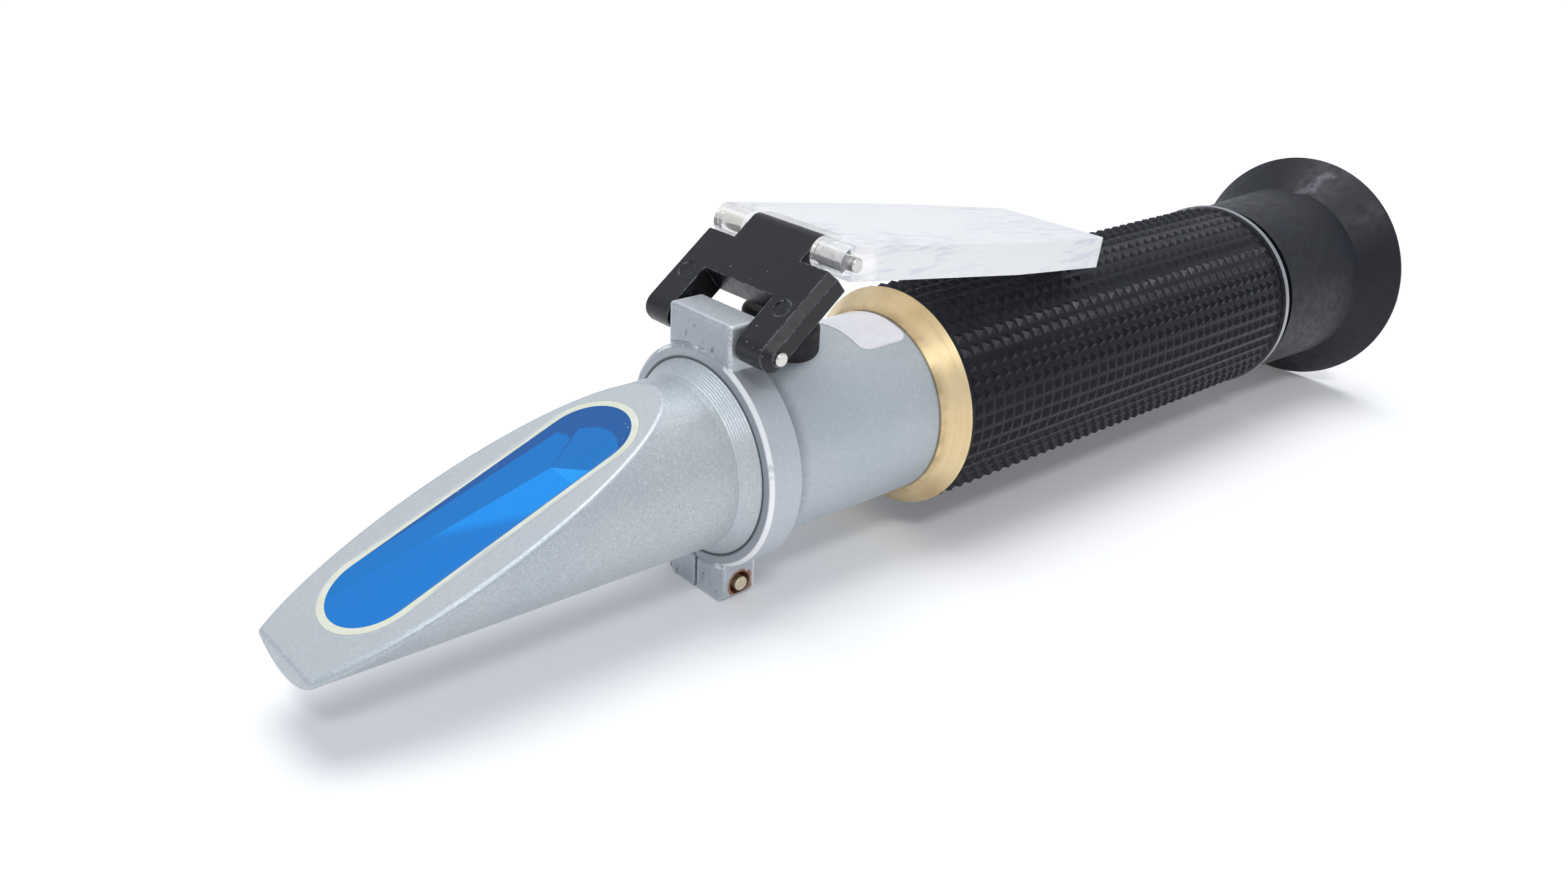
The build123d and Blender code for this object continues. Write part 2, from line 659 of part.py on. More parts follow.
with BuildPart() as rear_ring:
    turned(
        (GRIP_REAR, BARREL_R + SEAT_GAP),
        (GRIP_REAR, REAR_RING_R),
        (RING_REAR - REAR_RING_EDGE, REAR_RING_R),
        (RING_REAR, REAR_RING_R - REAR_RING_EDGE),
        (RING_REAR, BARREL_R + SEAT_GAP),
    )
save(rear_ring.part, "rear_ring")

# Calibration bush, screw and cap, on the upright axis over the objective cell
bush_top = TUBE_R + BUSH_ABOVE_TUBE
bush_bottom = TUBE_BORE_R - BUSH_BELOW_BORE
screw_hole_r = CALIBRATION_SCREW_R + RUNNING_GAP
screw_tip = CELL_PAD_HEIGHT + RUNNING_GAP
screw_head_base = bush_top + HEAD_CLEARANCE
screw_head_top = screw_head_base + CALIBRATION_HEAD_HEIGHT

with BuildPart() as calibration_bush:
    with BuildSketch(level(TUBE_BORE_R, CALIBRATION_X)):
        Circle(BUSH_FLANGE_R)
    extrude(amount=bush_top - TUBE_BORE_R)
    tube(0, GRIP_FRONT, TUBE_R + SEAT_GAP, 0, mode=Mode.SUBTRACT)
    with BuildSketch(level(bush_bottom, CALIBRATION_X)):
        Circle(BUSH_R)
    extrude(amount=bush_top - bush_bottom)
    with BuildSketch(level(bush_bottom, CALIBRATION_X)):
        Circle(screw_hole_r)
    extrude(amount=bush_top - bush_bottom, mode=Mode.SUBTRACT)
save(calibration_bush.part, "calibration_bush")

with BuildPart() as calibration_screw:
    with BuildSketch(level(screw_tip, CALIBRATION_X)):
        Circle(CALIBRATION_SCREW_R)
    extrude(amount=screw_head_base - screw_tip)
    with BuildSketch(level(screw_head_base, CALIBRATION_X)):
        Circle(CALIBRATION_HEAD_R)
    extrude(amount=CALIBRATION_HEAD_HEIGHT)
    chamfer(calibration_screw.edges().sort_by(Axis.Z)[-1], PIN_CHAMFER)
    with BuildSketch(level(screw_head_top, CALIBRATION_X)):
        Rectangle(2 * (CALIBRATION_HEAD_R + OVERRUN), SCREW_SLOT_WIDTH)
    extrude(amount=-SCREW_SLOT_DEPTH, mode=Mode.SUBTRACT)
save(calibration_screw.part, "calibration_screw")

cap_top = TUBE_R + CAP_HEIGHT

with BuildPart() as calibration_cap:
    with BuildSketch(level(TUBE_BORE_R, CALIBRATION_X)):
        Circle(CAP_NECK_R)
    extrude(amount=cap_top - TUBE_BORE_R)
    fillet(calibration_cap.edges().sort_by(Axis.Z)[-1], CAP_EDGE_R)
    with BuildSketch(level(TUBE_BORE_R, CALIBRATION_X)):
        Circle(CAP_R)
    extrude(amount=TUBE_R + CAP_RIM_HEIGHT - TUBE_BORE_R)
    rim_edge = calibration_cap.edges().filter_by(GeomType.CIRCLE).filter_by(lambda e: e.radius == CAP_R)
    fillet(rim_edge.sort_by(Axis.Z)[-1], CAP_LEDGE_R)
    with BuildSketch(level(TUBE_BORE_R, CALIBRATION_X)):
        Circle(BUSH_FLANGE_R + SEAT_GAP)
    extrude(amount=cap_top - CAP_ROOF - TUBE_BORE_R, mode=Mode.SUBTRACT)
    tube(0, GRIP_FRONT, TUBE_R + SEAT_GAP, 0, mode=Mode.SUBTRACT)
save(calibration_cap.part, "calibration_cap")

# Objective cell, its lens and retaining ring
cell_rear = CELL_FRONT + CELL_LENGTH
cell_stop_r = CELL_BORE_R - RING_WALL
objective_crown = crown(OBJECTIVE_BULGE, CELL_BORE_R - SEAT_GAP, cell_stop_r)
objective_front = CELL_FRONT + OBJECTIVE_FRONT_RING + objective_crown
objective_rear = objective_front + OBJECTIVE_EDGE

with BuildPart() as objective_cell:
    tube(CELL_FRONT, cell_rear, CELL_R, CELL_BORE_R)
    split(bisect_by=level(CELL_PAD_HEIGHT), keep=Keep.BOTTOM)
    split(bisect_by=level(-CELL_PAD_HEIGHT), keep=Keep.TOP)
    tube(objective_rear + objective_crown, cell_rear, CELL_BORE_R + SEAT_GAP, cell_stop_r)
    with BuildSketch(level(-CELL_PAD_HEIGHT, (CELL_FRONT + cell_rear) / 2)):
        with GridLocations(STRIP_SCREW_PITCH, 0, 2, 1):
            Circle(STRIP_SCREW_R + SEAT_GAP)
    extrude(amount=CELL_PAD_HEIGHT / 2, mode=Mode.SUBTRACT)
save(objective_cell.part, "objective_cell")

with BuildPart() as objective_lens:
    lens(objective_front, OBJECTIVE_EDGE - SEAT_GAP, CELL_BORE_R - SEAT_GAP, OBJECTIVE_BULGE, OBJECTIVE_BULGE)
save(objective_lens.part, "objective_lens")

with BuildPart() as objective_retainer:
    tube(CELL_FRONT, CELL_FRONT + OBJECTIVE_FRONT_RING - SEAT_GAP, CELL_BORE_R - SEAT_GAP, cell_stop_r)
save(objective_retainer.part, "objective_retainer")

# Bimetal strip under the cell, and the ring in the tube that guides its free end
strip_top = -CELL_PAD_HEIGHT - SEAT_GAP
strip_bottom = strip_top - STRIP_THICKNESS
strip_middle = CELL_FRONT + STRIP_LENGTH / 2
cell_middle = (CELL_FRONT + cell_rear) / 2

with BuildPart() as bimetal_strip:
    with BuildSketch(level(strip_bottom, strip_middle)):
        Rectangle(STRIP_LENGTH, STRIP_WIDTH)
        with Locations((cell_middle - strip_middle, 0)):
            with GridLocations(STRIP_SCREW_PITCH, 0, 2, 1):
                Circle(STRIP_SCREW_R + SEAT_GAP, mode=Mode.SUBTRACT)
    extrude(amount=STRIP_THICKNESS)
save(bimetal_strip.part, "bimetal_strip")

with BuildPart() as strip_screws:
    with BuildSketch(level(strip_bottom - SEAT_GAP, cell_middle)):
        with GridLocations(STRIP_SCREW_PITCH, 0, 2, 1):
            Circle(STRIP_SCREW_R)
    extrude(amount=CELL_PAD_HEIGHT - CELL_BORE_R + STRIP_THICKNESS)
    with BuildSketch(level(strip_bottom - SEAT_GAP, cell_middle)):
        with GridLocations(STRIP_SCREW_PITCH, 0, 2, 1):
            Circle(STRIP_SCREW_HEAD_R)
    extrude(amount=-STRIP_SCREW_HEAD_HEIGHT)
save(strip_screws.part, "strip_screws")

bore_fit_r = TUBE_BORE_R - SEAT_GAP

with BuildPart() as compensator_ring:
    tube(COMPENSATOR_FRONT, COMPENSATOR_FRONT + COMPENSATOR_LENGTH, bore_fit_r, COMPENSATOR_BORE_R)
    with BuildSketch(across(COMPENSATOR_FRONT)):
        with Locations((0, (strip_top + strip_bottom) / 2)):
            Rectangle(STRIP_WIDTH + 2 * OPEN_GAP, STRIP_THICKNESS + 2 * STRIP_PLAY)
    extrude(amount=COMPENSATOR_LENGTH, mode=Mode.SUBTRACT)
save(compensator_ring.part, "compensator_ring")

with BuildPart() as light_baffle:
    turned(
        (BAFFLE_FRONT, BAFFLE_BORE_R),
        (BAFFLE_FRONT, bore_fit_r),
        (BAFFLE_FRONT + BAFFLE_LENGTH, bore_fit_r),
        (BAFFLE_FRONT + BAFFLE_LENGTH, BAFFLE_BORE_R + BAFFLE_LENGTH),
    )
save(light_baffle.part, "light_baffle")

# Reticle glass between its ring and the eyepiece barrel
barrel_front = GRIP_REAR - BARREL_SPIGOT
reticle_front = barrel_front - RETICLE_THICKNESS

with BuildPart() as reticle:
    tube(reticle_front, barrel_front - SEAT_GAP, RETICLE_R, 0)
save(reticle.part, "reticle")

with BuildPart() as reticle_ring:
    turned(
        (barrel_front - RETICLE_RING_LENGTH, RETICLE_BORE_R),
        (barrel_front - RETICLE_RING_LENGTH, bore_fit_r),
        (barrel_front, bore_fit_r),
        (barrel_front, RETICLE_R + SEAT_GAP),
        (reticle_front - SEAT_GAP, RETICLE_R + SEAT_GAP),
        (reticle_front - SEAT_GAP, RETICLE_BORE_R),
    )
save(reticle_ring.part, "reticle_ring")

# Focus travel, and the stations of what moves with the sleeve
turn_in = radians(FOCUS_IN_TURN)
turn_out = radians(FOCUS_OUT_TURN)
lead_per_radian = FOCUS_LEAD / (2 * pi)
focus_in = lead_per_radian * turn_in
focus_out = lead_per_radian * turn_out
sleeve_bore_r = BARREL_R + RUNNING_GAP
sleeve_wall_front = SLEEVE_REAR - SLEEVE_WALL
flange_rear = sleeve_wall_front - RUNNING_GAP
flange_front = flange_rear - CARRIAGE_FLANGE
clip_rear = flange_front - RUNNING_GAP
clip_front = clip_rear - CLIP_THICKNESS
clip_r = sleeve_bore_r + CLIP_GROOVE_DEPTH
guide_x = SLEEVE_REAR - GUIDE_FROM_REAR

# Eyepiece barrel: a spigot in the tube, a keyway in its bore and a helical slot in its wall
barrel_rear = clip_front - focus_in - BARREL_END_GAP
slot_half_width = GUIDE_R + GUIDE_SLOT_GAP
wall_middle_r = (BARREL_R + BARREL_BORE_R) / 2
wall_cut = 2 * (BARREL_R - BARREL_BORE_R)


def slot_plane(angle):
    """The radial plane of the guide's slot at a turn from rest; the guide rests under the barrel."""
    x = COLLAR_X + guide_x + lead_per_radian * angle
    outward = (0, sin(angle), -cos(angle))
    return Plane(
        origin=(x, wall_middle_r * outward[1], AXIS_Z + wall_middle_r * outward[2]),
        x_dir=(1, 0, 0),
        z_dir=outward,
    )


with BuildPart() as guide_slot:
    with BuildLine() as slot_path:
        Helix(
            pitch=FOCUS_LEAD,
            height=focus_in + focus_out,
            radius=wall_middle_r,
            center=(COLLAR_X + guide_x - focus_in, 0, AXIS_Z),
            direction=(1, 0, 0),
        )
    with BuildSketch(Plane(slot_path.line @ 0, x_dir=(1, 0, 0), z_dir=slot_path.line % 0)):
        Rectangle(2 * slot_half_width, wall_cut)
    sweep(path=slot_path.line, is_frenet=True)
helix_start_turn = 180 - FOCUS_IN_TURN

with BuildPart() as eyepiece_barrel:
    turned(
        (barrel_front, BARREL_BORE_R),
        (barrel_front, bore_fit_r),
        (GRIP_REAR, bore_fit_r),
        (GRIP_REAR, BARREL_R),
        (barrel_rear, BARREL_R),
        (barrel_rear, BARREL_BORE_R),
    )
    add(guide_slot.part.rotate(OPTICAL_AXIS, helix_start_turn), mode=Mode.SUBTRACT)
    for slot_end in (-turn_in, turn_out):
        with BuildSketch(slot_plane(slot_end)):
            Circle(slot_half_width)
        extrude(amount=wall_cut / 2, both=True, mode=Mode.SUBTRACT)
    with BuildSketch(across(GRIP_REAR)):
        with Locations((0, BARREL_BORE_R)):
            Rectangle(KEYWAY_WIDTH, 2 * KEYWAY_DEPTH)
    extrude(amount=barrel_rear - GRIP_REAR, mode=Mode.SUBTRACT)
save(eyepiece_barrel.part, "eyepiece_barrel")

# Focus sleeve with a rear wall that holds the lens carriage
UNDERSIDE = Plane(origin=(COLLAR_X + guide_x, 0, AXIS_Z), x_dir=(1, 0, 0), z_dir=(0, 0, -1))

with BuildPart() as focus_sleeve:
    turned(
        (SLEEVE_FRONT, sleeve_bore_r),
        (SLEEVE_FRONT, SLEEVE_R),
        (SLEEVE_REAR, SLEEVE_R),
        (SLEEVE_REAR, EYE_APERTURE_R),
        (sleeve_wall_front, EYE_APERTURE_R),
        (sleeve_wall_front, sleeve_bore_r),
        (clip_rear, sleeve_bore_r),
        (clip_rear, clip_r + SEAT_GAP),
        (clip_front - SEAT_GAP, clip_r + SEAT_GAP),
        (clip_front - SEAT_GAP, sleeve_bore_r),
    )
    with BuildSketch(UNDERSIDE):
        Circle(GUIDE_R + SEAT_GAP)
    extrude(amount=2 * SLEEVE_R, mode=Mode.SUBTRACT)
    with BuildSketch(UNDERSIDE.offset(SLEEVE_R - GUIDE_HEAD_LENGTH)):
        Circle(GUIDE_HEAD_R + SEAT_GAP)
    extrude(amount=SLEEVE_R, mode=Mode.SUBTRACT)
save(focus_sleeve.part, "focus_sleeve")

with BuildPart() as carriage_clip:
    tube(clip_front, clip_rear, clip_r, CLIP_BORE_R)
save(carriage_clip.part, "carriage_clip")

with BuildPart() as guide_screw:
    with BuildSketch(UNDERSIDE.offset(BARREL_BORE_R + GUIDE_SLOT_GAP)):
        Circle(GUIDE_R)
    extrude(amount=SLEEVE_R - BARREL_BORE_R - GUIDE_SLOT_GAP - GUIDE_HEAD_LENGTH + SEAT_GAP)
    with BuildSketch(UNDERSIDE.offset(SLEEVE_R - GUIDE_HEAD_LENGTH + SEAT_GAP)):
        Circle(GUIDE_HEAD_R)
    extrude(amount=GUIDE_HEAD_LENGTH - 4 * SEAT_GAP)
save(guide_screw.part, "guide_screw")

# Lens carriage: it slides in the barrel, kept from turning by a key on its top
carriage_front = flange_rear - CARRIAGE_LENGTH
carriage_r = BARREL_BORE_R - RUNNING_GAP
carriage_seat_r = CARRIAGE_BORE_R - SEAT_GAP
carriage_stop_r = CARRIAGE_BORE_R - RING_WALL
eye_crown = crown(EYE_LENS_BULGE, carriage_seat_r, carriage_stop_r)
field_crown = crown(FIELD_LENS_BULGE, carriage_seat_r, carriage_stop_r)
eye_lens_rear = flange_rear - CARRIAGE_STOP - eye_crown
eye_lens_front = eye_lens_rear - EYE_LENS_EDGE
spacer_rear = eye_lens_front - eye_crown
spacer_front = spacer_rear - LENS_SPACER
field_lens_front = spacer_front - FIELD_LENS_EDGE
retainer_rear = field_lens_front - field_crown

with BuildPart() as lens_carriage:
    turned(
        (carriage_front, CARRIAGE_BORE_R),
        (carriage_front, carriage_r),
        (flange_front, carriage_r),
        (flange_front, CARRIAGE_FLANGE_R),
        (flange_rear, CARRIAGE_FLANGE_R),
        (flange_rear, carriage_stop_r),
        (flange_rear - CARRIAGE_STOP, carriage_stop_r),
        (flange_rear - CARRIAGE_STOP, CARRIAGE_BORE_R),
    )
    with BuildSketch(across(carriage_front)):
        with Locations((0, carriage_r)):
            Rectangle(KEYWAY_WIDTH - 2 * KEY_GAP, 2 * (KEYWAY_DEPTH - KEY_GAP))
    extrude(amount=KEY_LENGTH)
    tube(carriage_front, carriage_front + KEY_LENGTH, CARRIAGE_BORE_R, 0, mode=Mode.SUBTRACT)
save(lens_carriage.part, "lens_carriage")

with BuildPart() as eye_lens:
    lens(eye_lens_front, EYE_LENS_EDGE - SEAT_GAP, carriage_seat_r, EYE_LENS_BULGE, EYE_LENS_BULGE)
save(eye_lens.part, "eye_lens")

with BuildPart() as lens_spacer:
    tube(spacer_front, spacer_rear - SEAT_GAP, carriage_seat_r, carriage_stop_r)
save(lens_spacer.part, "lens_spacer")

with BuildPart() as field_lens:
    lens(field_lens_front, FIELD_LENS_EDGE - SEAT_GAP, carriage_seat_r, FIELD_LENS_BULGE, 0)
save(field_lens.part, "field_lens")

with BuildPart() as lens_retainer:
    tube(retainer_rear - RETAINER_LENGTH, retainer_rear - SEAT_GAP, carriage_seat_r, carriage_stop_r)
save(lens_retainer.part, "lens_retainer")

# Rubber eyecup over the sleeve, open to the rear as a shallow cup
cup_floor = SLEEVE_REAR + SEAT_GAP + EYECUP_WEB
sleeve_seat_r = SLEEVE_R + SEAT_GAP

with BuildPart() as eyecup:
    turned(
        (EYECUP_FRONT, sleeve_seat_r),
        (EYECUP_FRONT, EYECUP_FRONT_R),
        (FLARE_FRONT, EYECUP_NECK_R),
        (RIM_REAR - EYECUP_RIM_LAND, EYECUP_RIM_R),
        (RIM_REAR, EYECUP_RIM_R),
        (RIM_REAR, EYECUP_RIM_R - EYECUP_RIM_WALL),
        (cup_floor + EYECUP_CUP_STEP, EYECUP_CUP_R),
        (cup_floor, EYE_APERTURE_R),
        (SLEEVE_REAR + SEAT_GAP, EYE_APERTURE_R),
        (SLEEVE_REAR + SEAT_GAP, sleeve_seat_r),
    )
    fillet(eyecup.edges().filter_by(GeomType.CIRCLE).group_by(SortBy.RADIUS)[-1], EYECUP_RIM_EDGE)
save(eyecup.part, "eyecup")
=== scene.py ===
"""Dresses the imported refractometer: materials, knurled grip, bare label, floor, light and camera."""

import json
from math import atan2, cos, pi, radians, sin

import bmesh
import bpy
from mathutils import Matrix, Vector


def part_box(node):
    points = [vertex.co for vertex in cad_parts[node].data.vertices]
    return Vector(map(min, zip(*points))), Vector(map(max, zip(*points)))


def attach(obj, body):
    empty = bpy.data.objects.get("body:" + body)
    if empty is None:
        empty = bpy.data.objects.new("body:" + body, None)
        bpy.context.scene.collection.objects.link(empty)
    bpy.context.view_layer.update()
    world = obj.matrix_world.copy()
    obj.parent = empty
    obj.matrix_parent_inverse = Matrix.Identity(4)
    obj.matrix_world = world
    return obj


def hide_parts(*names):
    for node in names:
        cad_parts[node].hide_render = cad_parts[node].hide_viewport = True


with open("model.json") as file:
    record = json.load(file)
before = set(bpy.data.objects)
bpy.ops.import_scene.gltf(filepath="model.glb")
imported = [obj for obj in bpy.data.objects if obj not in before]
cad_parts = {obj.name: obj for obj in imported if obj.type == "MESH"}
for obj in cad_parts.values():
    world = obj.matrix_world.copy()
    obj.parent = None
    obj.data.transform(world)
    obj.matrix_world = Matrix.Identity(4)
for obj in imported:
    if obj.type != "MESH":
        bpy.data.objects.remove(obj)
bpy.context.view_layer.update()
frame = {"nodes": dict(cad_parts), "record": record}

MM = 0.001

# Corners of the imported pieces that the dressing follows
grip_low, grip_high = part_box("grip_sleeve")
tube_low, tube_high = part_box("body_tube")
ferrule_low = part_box("brass_ferrule")[0]
cup_low, cup_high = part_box("eyecup")
collar_low, collar_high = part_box("hinge_collar")
screw_low, screw_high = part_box("clamp_screw")
plate_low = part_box("cover_plate")[0]
housing_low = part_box("prism_housing")[0]

# The optical axis, and the radii of what is on it
AXIS_Z = (cup_low.z + cup_high.z) / 2
TUBE_R = (tube_high.y - tube_low.y) / 2
GRIP_R = (grip_high.y - grip_low.y) / 2
GRIP_BORE_R = TUBE_R + 0.02 * MM

# The flange in front of the collar, and the turned lines on it
FLANGE_R = 12.3 * MM
FLANGE_LINES = 3.1 * MM
TURNED_PITCH = 0.26 * MM

# The hinge collar: its front face, its chamfered edge, its block, and the hole round its clamp screw
COLLAR_X = collar_low.x
COLLAR_R = 14.1 * MM
COLLAR_EDGE = 0.45 * MM
BLOCK_HALF = 5.8 * MM
BLOCK_WEAR = 0.8 * MM
SCREW_MIDDLE = (screw_low + screw_high) / 2
SCREW_HOLE = (screw_high.z - screw_low.z) / 2
FORWARD = (-1, 0, 0)

# How far the daylight plate's knuckles reach
KNUCKLE_REACH = 5.0 * MM

# The streak on the eyecup's flare: its middle, how far it leans, and half its length
STREAK_X = cup_high.x - 5.0 * MM
STREAK_Y = -2.5 * MM
STREAK_LEAN = 0.5
STREAK_HALF = 3.4 * MM

# The sloping sample face: its tip edge, and the directions along it and out of it
FACE_ANGLE = radians(21.6)
FACE_ORIGIN = (housing_low.x, 0.0, AXIS_Z - 7.4 * MM)
FACE_ALONG = (cos(FACE_ANGLE), 0.0, sin(FACE_ANGLE))
FACE_NORMAL = (-sin(FACE_ANGLE), 0.0, cos(FACE_ANGLE))
# The window's half width, and the places along the face about which its ends are round
WINDOW_HALF = 5.6 * MM
WINDOW_LOW = 11.2 * MM
WINDOW_HIGH = 38.8 * MM

# Cells and waves to the metre in the finishes
PAINT_FLAKES = 6200
PLASTIC_GRAIN = 7000
RUBBER_GRAIN = 6000
LATHE_RINGS = 3200.0
LATHE_TURN = 40

# Standard constants of the sRGB curve
SRGB_KNEE = 0.04045
SRGB_SLOPE = 12.92
SRGB_OFFSET = 0.055
SRGB_POWER = 2.4


def linear(red, green, blue):
    """Scene colour of an sRGB colour given as 0 to 255."""
    out = []
    for value in (red, green, blue):
        share = value / 255
        curve = ((share + SRGB_OFFSET) / (1 + SRGB_OFFSET)) ** SRGB_POWER
        out.append(share / SRGB_SLOPE if share <= SRGB_KNEE else curve)
    return (*out, 1.0)


class Shader:
    """One material's node tree, with short calls for the nodes that the finishes share."""

    def __init__(self, name):
        self.material = bpy.data.materials.new(name)
        self.material.use_nodes = True
        self.tree = self.material.node_tree
        self.principled = self.tree.nodes["Principled BSDF"]
        self.place = self.node("TexCoord").outputs["Object"]

    def node(self, kind):
        """Adds a node of that kind."""
        return self.tree.nodes.new("ShaderNode" + kind)

    def feed(self, target, value):
        """Sets a socket to a value or links it to another node."""
        if isinstance(value, bpy.types.NodeSocket):
            self.tree.links.new(value, target)
        else:
            target.default_value = value

    def put(self, socket, value):
        """Sets or links one input of the surface."""
        self.feed(self.principled.inputs[socket], value)

    def scaled(self, factors):
        """The object position multiplied along each axis."""
        node = self.node("Mapping")
        node.inputs["Scale"].default_value = factors
        self.feed(node.inputs["Vector"], self.place)
        return node.outputs["Vector"]

    def noise(self, per_metre, detail=2.0, rough=0.5, place=None):
        """Soft random values about 0.5."""
        node = self.node("TexNoise")
        node.inputs["Scale"].default_value = per_metre
        node.inputs["Detail"].default_value = detail
        node.inputs["Roughness"].default_value = rough
        self.feed(node.inputs["Vector"], self.place if place is None else place)
        return node.outputs["Fac"]

    def cells(self, per_metre):
        """A random value for each small cell, and the distance from the cell's middle."""
        node = self.node("TexVoronoi")
        node.inputs["Scale"].default_value = per_metre
        self.feed(node.inputs["Vector"], self.place)
        split = self.node("SeparateColor")
        self.feed(split.inputs["Color"], node.outputs["Color"])
        return split.outputs["Red"], node.outputs["Distance"]

    def dots(self, per_metre, size, share):
        """Small round specks in that share of the cells; size is in cells."""
        value, distance = self.cells(per_metre)
        chosen = self.ramp(value, 1 - share, 1.01 - share)
        return self.times(chosen, self.ramp(distance, size, size * 0.6))

    def ramp(self, value, low, high, out_low=0.0, out_high=1.0):
        """Maps a range to another, clamped at both ends."""
        node = self.node("MapRange")
        limits = {"From Min": low, "From Max": high, "To Min": out_low, "To Max": out_high}
        for socket, number in limits.items():
            self.feed(node.inputs[socket], number)
        self.feed(node.inputs["Value"], value)
        return node.outputs["Result"]

    def math(self, operation, first, second=0.0):
        """One sum on values."""
        node = self.node("Math")
        node.operation = operation
        for socket, value in zip(node.inputs, (first, second)):
            self.feed(socket, value)
        return node.outputs[0]

    def times(self, first, *others):
        """The product of values."""
        for other in others:
            first = self.math("MULTIPLY", first, other)
        return first

    def length(self, first, second):
        """The length of the step made by two steps at a right angle."""
        return self.math("SQRT", self.math("ADD", self.times(first, first), self.times(second, second)))

    def mix(self, share, first, second):
        """A colour between two colours."""
        node = self.node("Mix")
        node.data_type = "RGBA"
        self.feed(node.inputs["Factor"], share)
        self.feed(node.inputs[6], first)
        self.feed(node.inputs[7], second)
        return node.outputs[2]

    def vectors(self, operation, first, second):
        """One sum on two vectors."""
        node = self.node("VectorMath")
        node.operation = operation
        self.feed(node.inputs[0], first)
        self.feed(node.inputs[1], second)
        return node.outputs

    def rounded(self, radius):
        """The normal as it would be with rounded edges."""
        node = self.node("Bevel")
        node.samples = 4
        node.inputs["Radius"].default_value = radius
        return node.outputs["Normal"]

    def bump(self, height, depth, strength=1.0, edge=0.0):
        """Turns a height from 0 to 1 into a relief of that depth, over edges rounded by a radius."""
        node = self.node("Bump")
        node.inputs["Strength"].default_value = strength
        node.inputs["Distance"].default_value = depth
        self.feed(node.inputs["Height"], height)
        if edge:
            self.feed(node.inputs["Normal"], self.rounded(edge))
        self.put("Normal", node.outputs["Normal"])

    def pass_lamps(self, share):
        """Lets that share of the lamps' light straight through."""
        path = self.node("LightPath")
        blend = self.node("MixShader")
        self.feed(blend.inputs["Fac"], self.times(path.outputs["Is Shadow Ray"], share))
        self.feed(blend.inputs[1], self.principled.outputs["BSDF"])
        self.feed(blend.inputs[2], self.node("BsdfTransparent").outputs["BSDF"])
        self.feed(self.tree.nodes["Material Output"].inputs["Surface"], blend.outputs["Shader"])

    def part(self, axis):
        """One coordinate of the object position."""
        node = self.node("SeparateXYZ")
        self.feed(node.inputs["Vector"], self.place)
        return node.outputs[axis]

    def along_face(self):
        """Distance from the tip, measured up the sample face."""
        step = self.vectors("SUBTRACT", self.place, FACE_ORIGIN)["Vector"]
        return self.vectors("DOT_PRODUCT", step, FACE_ALONG)["Value"]

    def radius(self):
        """Distance from the optical axis."""
        return self.length(self.part("Y"), self.math("SUBTRACT", self.part("Z"), AXIS_Z))

    def side(self, along, across, line, soft):
        """1 to the left of a line on a flat face and 0 to its right; soft is the width of the change."""
        start, end = line
        run, rise = end[0] - start[0], end[1] - start[1]
        reach = (run**2 + rise**2) ** 0.5
        over = self.times(self.math("SUBTRACT", across, start[1]), run / reach)
        under = self.times(self.math("SUBTRACT", along, start[0]), rise / reach)
        return self.ramp(self.math("SUBTRACT", over, under), -soft / 2, soft / 2)

    def edges(self, width):
        """1 near a convex edge and 0 elsewhere, where the rounded normal leaves the flat one."""
        flat = self.node("NewGeometry").outputs["Normal"]
        return self.ramp(self.vectors("DOT_PRODUCT", self.rounded(width), flat)["Value"], 0.99, 0.90)

    def facing(self, direction, low, high):
        """1 where the surface faces a direction and 0 elsewhere."""
        flat = self.node("NewGeometry").outputs["True Normal"]
        return self.ramp(self.vectors("DOT_PRODUCT", flat, direction)["Value"], low, high)


def silver_paint(name="silver_paint", dress=None):
    """Satin silver paint: fine flakes, slow changes of tone, specks, pale edges and small scratches."""
    s = Shader(name)
    tone = s.ramp(s.noise(45, 2), 0.4, 0.62)
    base = s.mix(tone, linear(187, 195, 200), linear(195, 201, 205))
    flake = s.cells(PAINT_FLAKES)[0]
    base = s.mix(s.ramp(flake, 0.0, 0.3, 0.28, 0.0), base, linear(142, 149, 157))
    base = s.mix(s.ramp(flake, 0.78, 1.0, 0.0, 0.42), base, linear(230, 234, 238))
    scratch = s.ramp(s.noise(1.0, 4, 0.7, s.scaled((700, 2300, 900))), 0.745, 0.775)
    base = s.mix(s.times(scratch, 0.5), base, linear(92, 96, 104))
    base = s.mix(s.times(s.dots(420, 0.05, 0.2), 0.6), base, linear(96, 100, 108))
    wear = s.times(s.edges(0.18 * MM), s.ramp(s.noise(1700, 4), 0.40, 0.58))
    base = s.mix(s.times(wear, 0.8), base, linear(244, 247, 250))
    relief = flake
    if dress:
        base, relief = dress(s, base, flake)
    s.put("Base Color", base)
    s.put("Metallic", 0.5)
    s.put("Roughness", s.ramp(s.noise(2400, 3), 0.3, 0.7, 0.38, 0.50))
    s.bump(relief, 0.015 * MM, 0.6, 0.12 * MM)
    return s.material


def housing_marks_and_light(s, base, flake):
    """Turned lines on the flange, a flat sample face painted paler as light where it faces up, and sealant
    smeared round the window.
    """
    near = s.ramp(s.part("X"), COLLAR_X - FLANGE_LINES, COLLAR_X - FLANGE_LINES + 0.3 * MM)
    lines = s.math("SINE", s.times(s.part("X"), 2 * pi / TURNED_PITCH))
    lines = s.times(s.ramp(lines, -0.6, 0.9), near)
    base = s.mix(s.times(lines, 0.28), base, linear(226, 234, 236))
    # Painted light: the flat sample face, which faces up, is made paler as if lit.
    flat = s.facing(FACE_NORMAL, 0.995, 0.9995)
    base = s.mix(s.times(flat, 0.45), base, linear(205, 209, 213))
    reach, along = window_reach(s)
    smear = s.ramp(reach, WINDOW_HALF + 1.0 * MM, WINDOW_HALF + 0.75 * MM)
    smear = s.times(smear, s.ramp(along, WINDOW_LOW + 1.5 * MM, WINDOW_LOW - 1.5 * MM, 0.0, 0.9))
    base = s.mix(s.times(smear, flat), base, linear(222, 227, 206))
    return base, s.math("ADD", flake, s.times(lines, 2.0))


